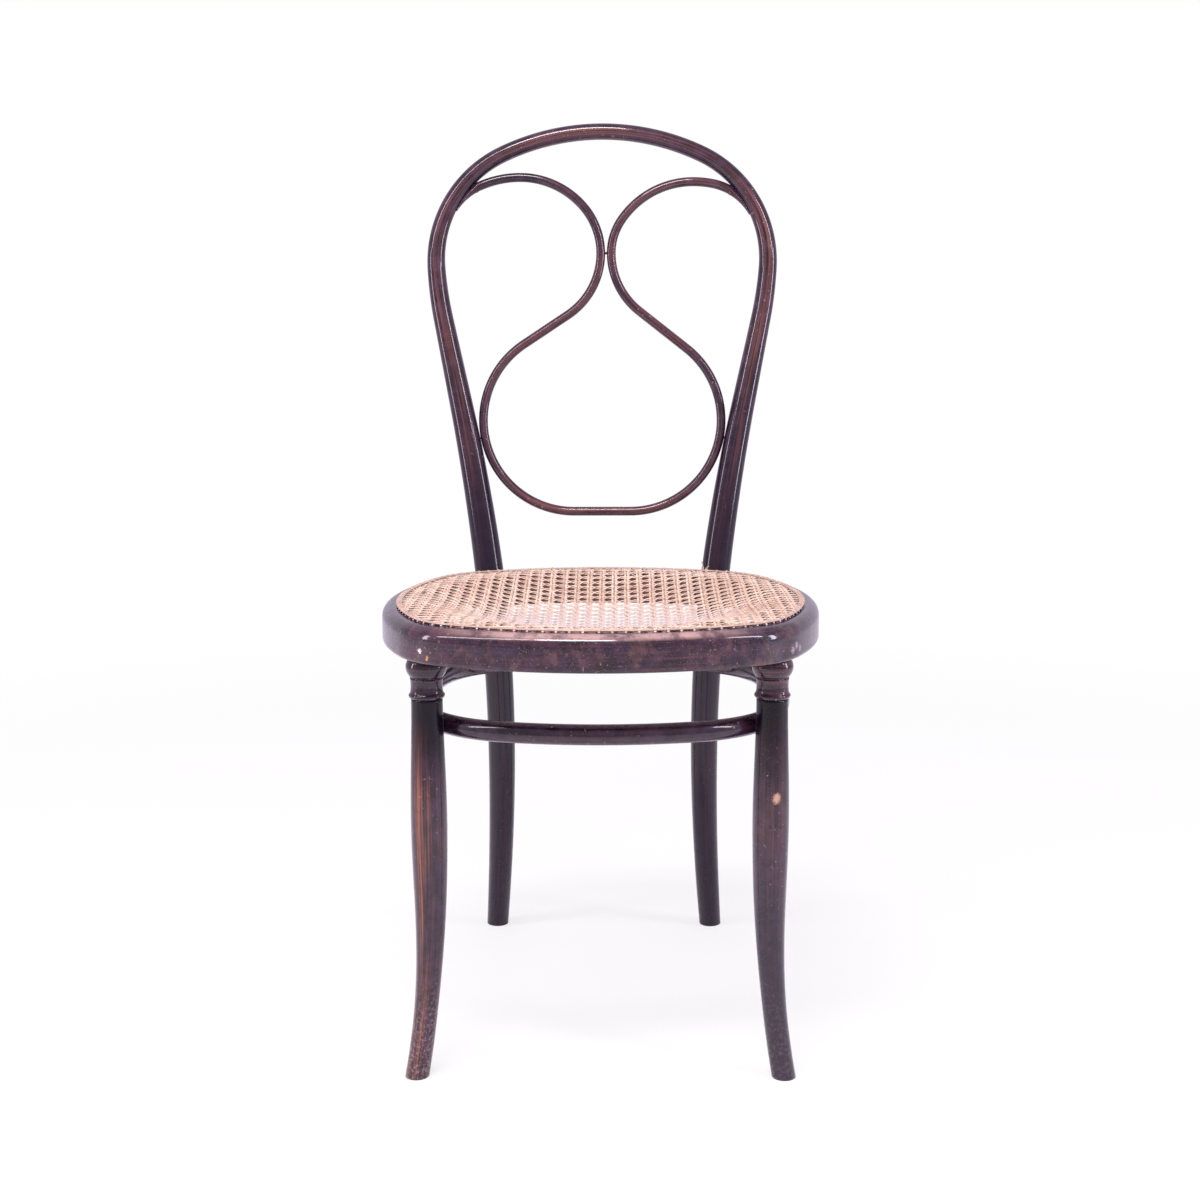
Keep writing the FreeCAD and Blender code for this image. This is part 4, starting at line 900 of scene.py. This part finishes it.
def strand(origin, heading, wave, half_width, sway):
    """One strand over its chord of the oval. Its height is the dish plus the wave of the
    weave, which fades out towards both ends, and it wanders sideways with a sine."""
    reach = np.arange(-STRAND_REACH, STRAND_REACH, STRAND_PROBE)
    x, y = origin[0] + heading[0] * reach, origin[1] + heading[1] * reach + DEPTH_SHIFT
    held = reach[beyond(seat_arcs, x, y)[0] < -HOLE_INSET]
    if len(held) < SHORTEST_STRAND / STRAND_PROBE:
        return None
    inner = np.arange(math.ceil(held[0] / STRAND_STEP), math.floor(held[-1] / STRAND_STEP) + 1) * STRAND_STEP
    t = np.unique(np.concatenate([[held[0]], inner, [held[-1]]]))
    x, y = origin[0] + heading[0] * t, origin[1] + heading[1] * t
    share = (t - t[0]) / (t[-1] - t[0])
    full = np.clip(LEVEL_ENDS * (1.0 - np.abs(2.0 * share - 1.0)), 0.0, 1.0)
    side = np.array([-heading[1], heading[0], 0.0])
    size, length, start = sway
    wander = size * np.sin(t / length + start)
    middle = np.stack([x, y + DEPTH_SHIFT, dish(x, y + DEPTH_SHIFT) + wave(x, y) * full], 1)
    return split_cane(middle + side * wander[:, None], side, half_width, STRAND_THICKNESS)


def cane_family(name, strands):
    """Strands as one mesh with closed ends. Each strand has its own tone, from which
    the material takes its colour, and its UV map starts at a place of its own."""
    vertices, faces, caps, uv, cap_uv, tones, base = [], [], [], [], [], [], 0
    sides = strands[0].shape[1]
    width = np.linspace(0.0, STRAND_ROUND, sides + 1)
    for rings in strands:
        rows = rings.shape[0]
        i, j = np.meshgrid(np.arange(rows - 1), np.arange(sides), indexing="ij")
        i, j = i.ravel(), j.ravel()
        here, after, beside = i * sides, (i + 1) * sides, (j + 1) % sides
        run = lengths(rings.mean(1)) + STRAND_SPREAD * random.random()
        vertices.append(rings.reshape(-1, 3))
        faces.append(np.stack([here + j, after + j, after + beside, here + beside], 1) + base)
        uv.append(np.stack([np.stack([run[i], run[i + 1], run[i + 1], run[i]], 1).ravel(),
                            np.stack([width[j], width[j], width[j + 1], width[j + 1]], 1).ravel()], 1))
        last = np.arange(rows * sides - 1, (rows - 1) * sides - 1, -1)
        caps.append(np.stack([np.arange(sides), last]) + base)
        cap_uv.append(np.stack([np.repeat(run[[0, -1]], sides), np.tile(width[:-1], 2)], 1))
        tones.append(np.full(rows * sides, random.random(), np.float32))
        base += rows * sides
    faces, caps = np.vstack(faces), np.vstack(caps)
    counts = np.concatenate([np.full(len(faces), 4), np.full(len(caps), sides)])
    piece = made(name, np.vstack(vertices), np.concatenate([faces.ravel(), caps.ravel()]), counts,
                 np.arange(len(counts)) < len(faces), np.concatenate(uv + cap_uv))
    piece.data.attributes.new("tone", "FLOAT", "POINT").data.foreach_set("value", np.concatenate(tones))
    return piece


def rattan(name, dark, light, toned=True):
    """Aged split rattan, from dark to light by a tone for each strand and by blotches
    along it, with tan patches, fine fibre lines and a paler place in the seat's middle,
    partly worn pale where people sit and partly a painted sheen."""
    finish = Finish(name)
    fibre = finish.noise(finish.along(*FIBRE_SCALE), 1.0, 2.0)
    level = finish.noise(finish.along(*BLOTCH_SCALE), 1.0, 3.0, 0.6)
    patches = finish.noise(finish.place, TAN_SCALE, 3.0)
    if toned:
        tone = finish.nodes.new("ShaderNodeAttribute")
        tone.attribute_name = "tone"
        level = finish.maths("ADD", finish.times(tone.outputs["Fac"], 0.45), finish.times(level, 0.55))
    finish.colour = finish.blend(finish.between(level, 0.2, 0.75), dark, light)
    finish.stain(finish.between(patches, 0.5, 0.72, 0.0, 0.5), CANE_TAN)
    # Paler place in the seat's middle: partly cane worn pale where people sit, partly a painted sheen.
    finish.stain(finish.near([SITTING_AND_SHEEN_PLACE], *SITTING_AND_SHEEN_REACH), CANE_BLEACH_AND_SHEEN)
    finish.stain(finish.between(fibre, 0.62, 0.78, 0.0, 0.5), CANE_FIBRE)
    finish.shade(Roughness=0.45, IOR=1.45)
    finish.bump(fibre, 0.3, FIBRE_DEPTH)
    return finish


def pair_wave(rise, crossing, space):
    """Wave of one strand of a pair: over one strand of each pair that it crosses and
    under the other, as a sine between the two. It crosses along x (0) or y (1)."""
    def wave(*place):
        phase = (place[crossing] / WEAVE_PITCH + 0.5) % 1.0 - 0.5
        across = np.clip(phase * WEAVE_PITCH / (2.0 * space), -1.0, 1.0)
        return rise * PAIR_WAVE * np.sin(across * math.pi)

    return wave


def diagonal_wave(rise):
    """Wave of a diagonal strand: over the rows and under the columns, or the reverse,
    as a cosine across the columns."""
    def wave(x, y):
        return rise * DIAGONAL_WAVE * np.cos(2.0 * math.pi * x / WEAVE_PITCH)

    return wave


def drift(size):
    """A slow sideways wander, as size, length and start of a sine."""
    shortest, spread = DRIFT_LENGTHS
    return size, shortest + spread * random.random(), 2.0 * math.pi * random.random()


families = {"cane_columns": [], "cane_rows": [], "cane_rising": [], "cane_falling": []}
for middle in np.arange(-PAIRS_EACH_SIDE, PAIRS_EACH_SIDE + 1) * WEAVE_PITCH:
    for side in (-1.0, 1.0):
        families["cane_columns"].append(strand((middle + side * COLUMN_HALF_SPACE, 0.0), (0.0, 1.0),
                                               pair_wave(-side, 1, ROW_HALF_SPACE),
                                               COLUMN_HALF_WIDTH, drift(PAIR_DRIFT)))
        families["cane_rows"].append(strand((0.0, middle + side * ROW_HALF_SPACE), (1.0, 0.0),
                                            pair_wave(side, 0, COLUMN_HALF_SPACE),
                                            ROW_HALF_WIDTH, drift(PAIR_DRIFT)))
diagonal = math.sqrt(0.5)
for middle in (np.arange(-DIAGONALS_EACH_SIDE, DIAGONALS_EACH_SIDE) + 0.5) * WEAVE_PITCH / 2.0:
    for name, rise in (("cane_rising", 1.0), ("cane_falling", -1.0)):
        families[name].append(strand((middle, -rise * middle), (diagonal, rise * diagonal),
                                     diagonal_wave(-rise), DIAGONAL_HALF_WIDTH, drift(DIAGONAL_DRIFT)))
cane_finish = rattan("rattan", CANE_DARK, CANE_LIGHT)
cane_finish.chip(*CANE_SPILL)
for name, strands in families.items():
    family = cane_family(name, [rings for rings in strands if rings is not None])
    finished(family, cane_finish.material, "cane", *(["cane_panel"] if name == "cane_columns" else []))

BINDER_HALF_WIDTH = 3.0
BINDER_LOW = SEAT_TOP + 1.6
BINDER_HIGH = SEAT_TOP + 3.0
BINDER_SIDES = 16
BINDER_ROUND = 14.0
BINDER_DARK = (0.36, 0.22, 0.17)
BINDER_LIGHT = (0.66, 0.50, 0.42)
BINDER_SPILL = (((-0.1830, -0.0103, 0.4425), (-0.1815, -0.0040, 0.4425), (0.1050, -0.2170, 0.4425),
                 (0.1130, -0.2140, 0.4425), (0.1210, -0.2105, 0.4425)), 0.0050, SHELLAC_SPILL, 0.9)
angle = np.linspace(0.0, 2.0 * math.pi, BINDER_SIDES, endpoint=False)
binder_level = (BINDER_LOW + BINDER_HIGH) / 2.0 + np.sin(angle) * (BINDER_HIGH - BINDER_LOW) / 2.0
binder_section = np.stack([HOLE_INSET + BINDER_HALF_WIDTH * np.cos(angle), binder_level], 1)
binder = surface("cane_binder_strip", swept(seat_line, seat_out, binder_section), seat_run,
                 np.linspace(0.0, BINDER_ROUND, BINDER_SIDES + 1), closed=True)
binder_finish = rattan("binder_rattan", BINDER_DARK, BINDER_LIGHT, toned=False)
binder_finish.chip(*BINDER_SPILL)
finished(binder, binder_finish.material, "cane", "cane_binder")


def given(node, material):
    """Give a solid's own mesh another material."""
    node.data.materials.clear()
    node.data.materials.append(material)


given(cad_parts["cane_pegs"], rattan("peg_rattan", BINDER_DARK, BINDER_LIGHT, toned=False).material)

TIE_PITCH = 13.0
TIE_HALF_WIDTH = 1.1
TIE_THICKNESS = 0.4
TIE_ROWS = 9
TIE_FULLNESS = 0.7
TIE_OVERHANG = 0.3
TIE_LOW = 0.7
TIE_RISE = BINDER_HIGH - SEAT_TOP - 0.3


def tie(place, out):
    """One loop of cane over the binder, from side to side: its height follows the
    cosine over the binder's width, to a power that makes it full."""
    share = np.linspace(-1.0, 1.0, TIE_ROWS)
    inset = HOLE_INSET + share * (BINDER_HALF_WIDTH + TIE_OVERHANG)
    middle = place - inset[:, None] * out
    middle[:, 2] = SEAT_TOP + TIE_LOW + TIE_RISE * np.cos(share * math.pi / 2) ** TIE_FULLNESS
    return split_cane(middle, np.array([out[1], -out[0], 0.0]), TIE_HALF_WIDTH, TIE_THICKNESS)


tie_rows = np.linspace(0, len(seat_line), int(seat_length / TIE_PITCH), endpoint=False).astype(int)
ties = cane_family("cane_ties", [tie(seat_line[row], seat_out[row]) for row in tie_rows])
finished(ties, cane_finish.material, "cane")

FRAY_ROWS = 8
FRAY_SECTION = np.array([[-1.0, -0.3], [0.0, 0.0], [1.0, -0.3], [0.0, -0.6]])
FRAY_HALF_WIDTHS = (0.9, 0.4)
FRAY_LOW = SEAT_TOP + 1.5
FRAYS = (((112.0, 187.0), (-2.0, -3.0), 11.0), ((114.5, 185.5), (4.0, -6.0), 6.0),
         ((-176.0, 96.0), (-9.0, 3.0), 4.0), ((-180.5, 60.0), (8.0, 12.0), 3.0),
         ((-192.0, 40.0), (-7.0, 2.0), 3.5), ((186.0, 80.0), (6.0, 9.0), 3.0))


def fray(foot, lean, rise):
    """One broken strand end that stands up from the edge, leaning over with the square
    of its length and growing thinner, as rings of a flat section."""
    t = np.linspace(0.0, 1.0, FRAY_ROWS)
    middle = np.stack([foot[0] + lean[0] * t ** 2, foot[1] + DEPTH_SHIFT + lean[1] * t ** 2,
                       FRAY_LOW + rise * t], 1)
    width = FRAY_HALF_WIDTHS[0] + (FRAY_HALF_WIDTHS[1] - FRAY_HALF_WIDTHS[0]) * t
    across = FRAY_SECTION[None, :, :1] * width[:, None, None] * np.array([1.0, 0.0, 0.0])
    return middle[:, None] + across + FRAY_SECTION[None, :, 1:] * np.array([0.0, 1.0, 0.0])


frays = cane_family("cane_frays", [fray(*place) for place in FRAYS])
finished(frays, cane_finish.material, "cane")

# Hardware
# The bolts with their washers and nuts, the slotted screws and the pin between the curls:
# plain steel, gone dark with age.
HARDWARE = {"bolt", "washer", "nut", "screw", "pin"}
WORN_STEEL = (0.20, 0.185, 0.18)
TARNISHED_STEEL = (0.055, 0.035, 0.027)
TARNISH_SCALE = 160.0
TARNISH_DEPTH = 0.0002


def old_steel(name):
    """Dark steel: a cloudy noise blends bright worn spots into brown tarnish, and makes
    the tarnish rougher."""
    finish = Finish(name)
    tarnish = finish.noise(finish.place, TARNISH_SCALE, 4.0, 0.6)
    colour = finish.blend(finish.between(tarnish, 0.35, 0.65), WORN_STEEL, TARNISHED_STEEL)
    finish.shade(Base_Color=colour, Metallic=1.0, Roughness=finish.between(tarnish, 0.3, 0.7, 0.32, 0.6))
    finish.bump(tarnish, 0.2, TARNISH_DEPTH)
    return finish.material


steel = old_steel("old_steel")
for name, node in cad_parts.items():
    if HARDWARE & set(name.split("_")):
        given(node, steel)

# Floor, lamps and camera
# A plain white floor in a white room, with long soft lamps above and beside the chair. The
# floor glows with the room's white, less so near the chair, where it keeps the shadow. The
# camera stands where the photograph was taken.
FLOOR_HALF = 6
PAPER_WHITE = (0.92, 0.92, 0.92)
SHADOW_SHARE = 0.32
SHADOW_REACH = (0.5, 2.2)
ROOM_LIGHT = (0.60, 0.55, 0.62)
ROOM_WHITE = (1.0, 1.0, 1.0)
LAMP_AIM = (0.0, 0.05, 0.55)
SOFTBOXES = (
    ("softbox_top", (-0.75, -1.15, 2.60), (0.15, -1.15, 2.65), 0.45, 36.0, (1.0, 0.94, 0.95)),
    ("softbox_upper_left", (-2.3, -1.1, 1.55), (-0.8, -1.15, 2.55), 0.22, 22.0, (1.0, 0.92, 0.97)),
    ("softbox_upper_right", (1.5, -1.1, 2.10), (2.3, -1.1, 1.45), 0.22, 16.0, (0.95, 0.90, 1.0)),
    ("softbox_left", (-2.6, -0.6, 0.3), (-2.6, -0.6, 1.5), 0.3, 14.0, (1.0, 0.90, 0.98)),
    ("softbox_right", (2.6, -0.6, 0.3), (2.6, -0.6, 1.5), 0.3, 20.0, (0.90, 0.86, 1.0)),
)
CAMERA_PLACE = (0.0172, -1.7 + DEPTH_SHIFT * MM, 0.7056)
CAMERA_YAW = -0.0105
CAMERA_PITCH = 0.156
CAMERA_ROLL = -0.00265
CAMERA_FOCAL_PIXELS = 1713.0
PICTURE_WIDTH = 1200.0


def turned_to(place, forward, right, up):
    """A matrix that stands at a place and looks along forward: its columns are right,
    up, back and the place."""
    axes = np.stack([right, up, -np.array(forward)], 1)
    return Matrix([list(axes[row]) + [place[row]] for row in range(3)] + [[0, 0, 0, 1]])


def softbox(name, start, end, width, power, colour):
    """A soft lamp that stretches from one place to another and faces what it lights:
    forward is the way to the aim, less its share along the lamp."""
    lamp = bpy.data.lights.new(name, "AREA")
    lamp.shape = "RECTANGLE"
    start, end = np.array(start), np.array(end)
    lamp.size = float(np.linalg.norm(end - start))
    lamp.size_y = width
    lamp.energy = power
    lamp.color = colour
    place = (start + end) / 2.0
    long = (end - start) / lamp.size
    forward = np.array(LAMP_AIM) - place
    forward -= (forward @ long) * long
    forward /= np.linalg.norm(forward)
    stand = bpy.data.objects.new(name, lamp)
    stand.matrix_world = turned_to(place, forward, long, np.cross(long, forward))
    bpy.context.scene.collection.objects.link(stand)


floor_mesh = bpy.data.meshes.new("floor")
floor_mesh.from_pydata([(-FLOOR_HALF, -FLOOR_HALF, 0), (FLOOR_HALF, -FLOOR_HALF, 0),
                        (FLOOR_HALF, FLOOR_HALF, 0), (-FLOOR_HALF, FLOOR_HALF, 0)], [], [(0, 1, 2, 3)])
floor = bpy.data.objects.new("floor", floor_mesh)
bpy.context.scene.collection.objects.link(floor)
paper = Finish("paper")
paper.shade(Base_Color=PAPER_WHITE, Roughness=0.9)
glow = paper.nodes.new("ShaderNodeEmission")
seen = paper.nodes.new("ShaderNodeLightPath")
mix = paper.nodes.new("ShaderNodeMixShader")
shadows = paper.times(paper.near([(0.0, 0.0, 0.0)], *SHADOW_REACH), SHADOW_SHARE)
lit = paper.maths("SUBTRACT", 1.0, shadows)
paper.put(mix.inputs["Fac"], paper.times(seen.outputs["Is Camera Ray"], lit))
paper.put(mix.inputs[1], paper.shader.outputs["BSDF"])
paper.put(mix.inputs[2], glow.outputs["Emission"])
paper.put(paper.nodes["Material Output"].inputs["Surface"], mix.outputs["Shader"])
floor_mesh.materials.append(paper.material)

world = bpy.data.worlds.new("room")
bpy.context.scene.world = world
world.use_nodes = True
nodes, links = world.node_tree.nodes, world.node_tree.links
seen = nodes.new("ShaderNodeLightPath")
light = nodes.new("ShaderNodeMix")
light.data_type = "RGBA"
light.inputs[6].default_value = ROOM_LIGHT + (1.0,)
light.inputs[7].default_value = ROOM_WHITE + (1.0,)
links.new(seen.outputs["Is Camera Ray"], light.inputs["Factor"])
links.new(light.outputs[2], nodes["Background"].inputs["Color"])
for box in SOFTBOXES:
    softbox(*box)

level = np.array([math.sin(CAMERA_YAW), math.cos(CAMERA_YAW), 0.0])
forward = math.cos(CAMERA_PITCH) * level - math.sin(CAMERA_PITCH) * UP
up = math.sin(CAMERA_PITCH) * level + math.cos(CAMERA_PITCH) * UP
right = np.array([math.cos(CAMERA_YAW), -math.sin(CAMERA_YAW), 0.0])
lens = bpy.data.cameras.new("camera")
lens.sensor_fit = "HORIZONTAL"
lens.sensor_width = 36.0
lens.lens = CAMERA_FOCAL_PIXELS / PICTURE_WIDTH * lens.sensor_width
camera = bpy.data.objects.new("camera", lens)
rolled_right = math.cos(CAMERA_ROLL) * right + math.sin(CAMERA_ROLL) * up
rolled_up = math.cos(CAMERA_ROLL) * up - math.sin(CAMERA_ROLL) * right
camera.matrix_world = turned_to(CAMERA_PLACE, forward, rolled_right, rolled_up)
bpy.context.scene.collection.objects.link(camera)
bpy.context.scene.camera = camera
bpy.context.scene.view_settings.view_transform = "Standard"
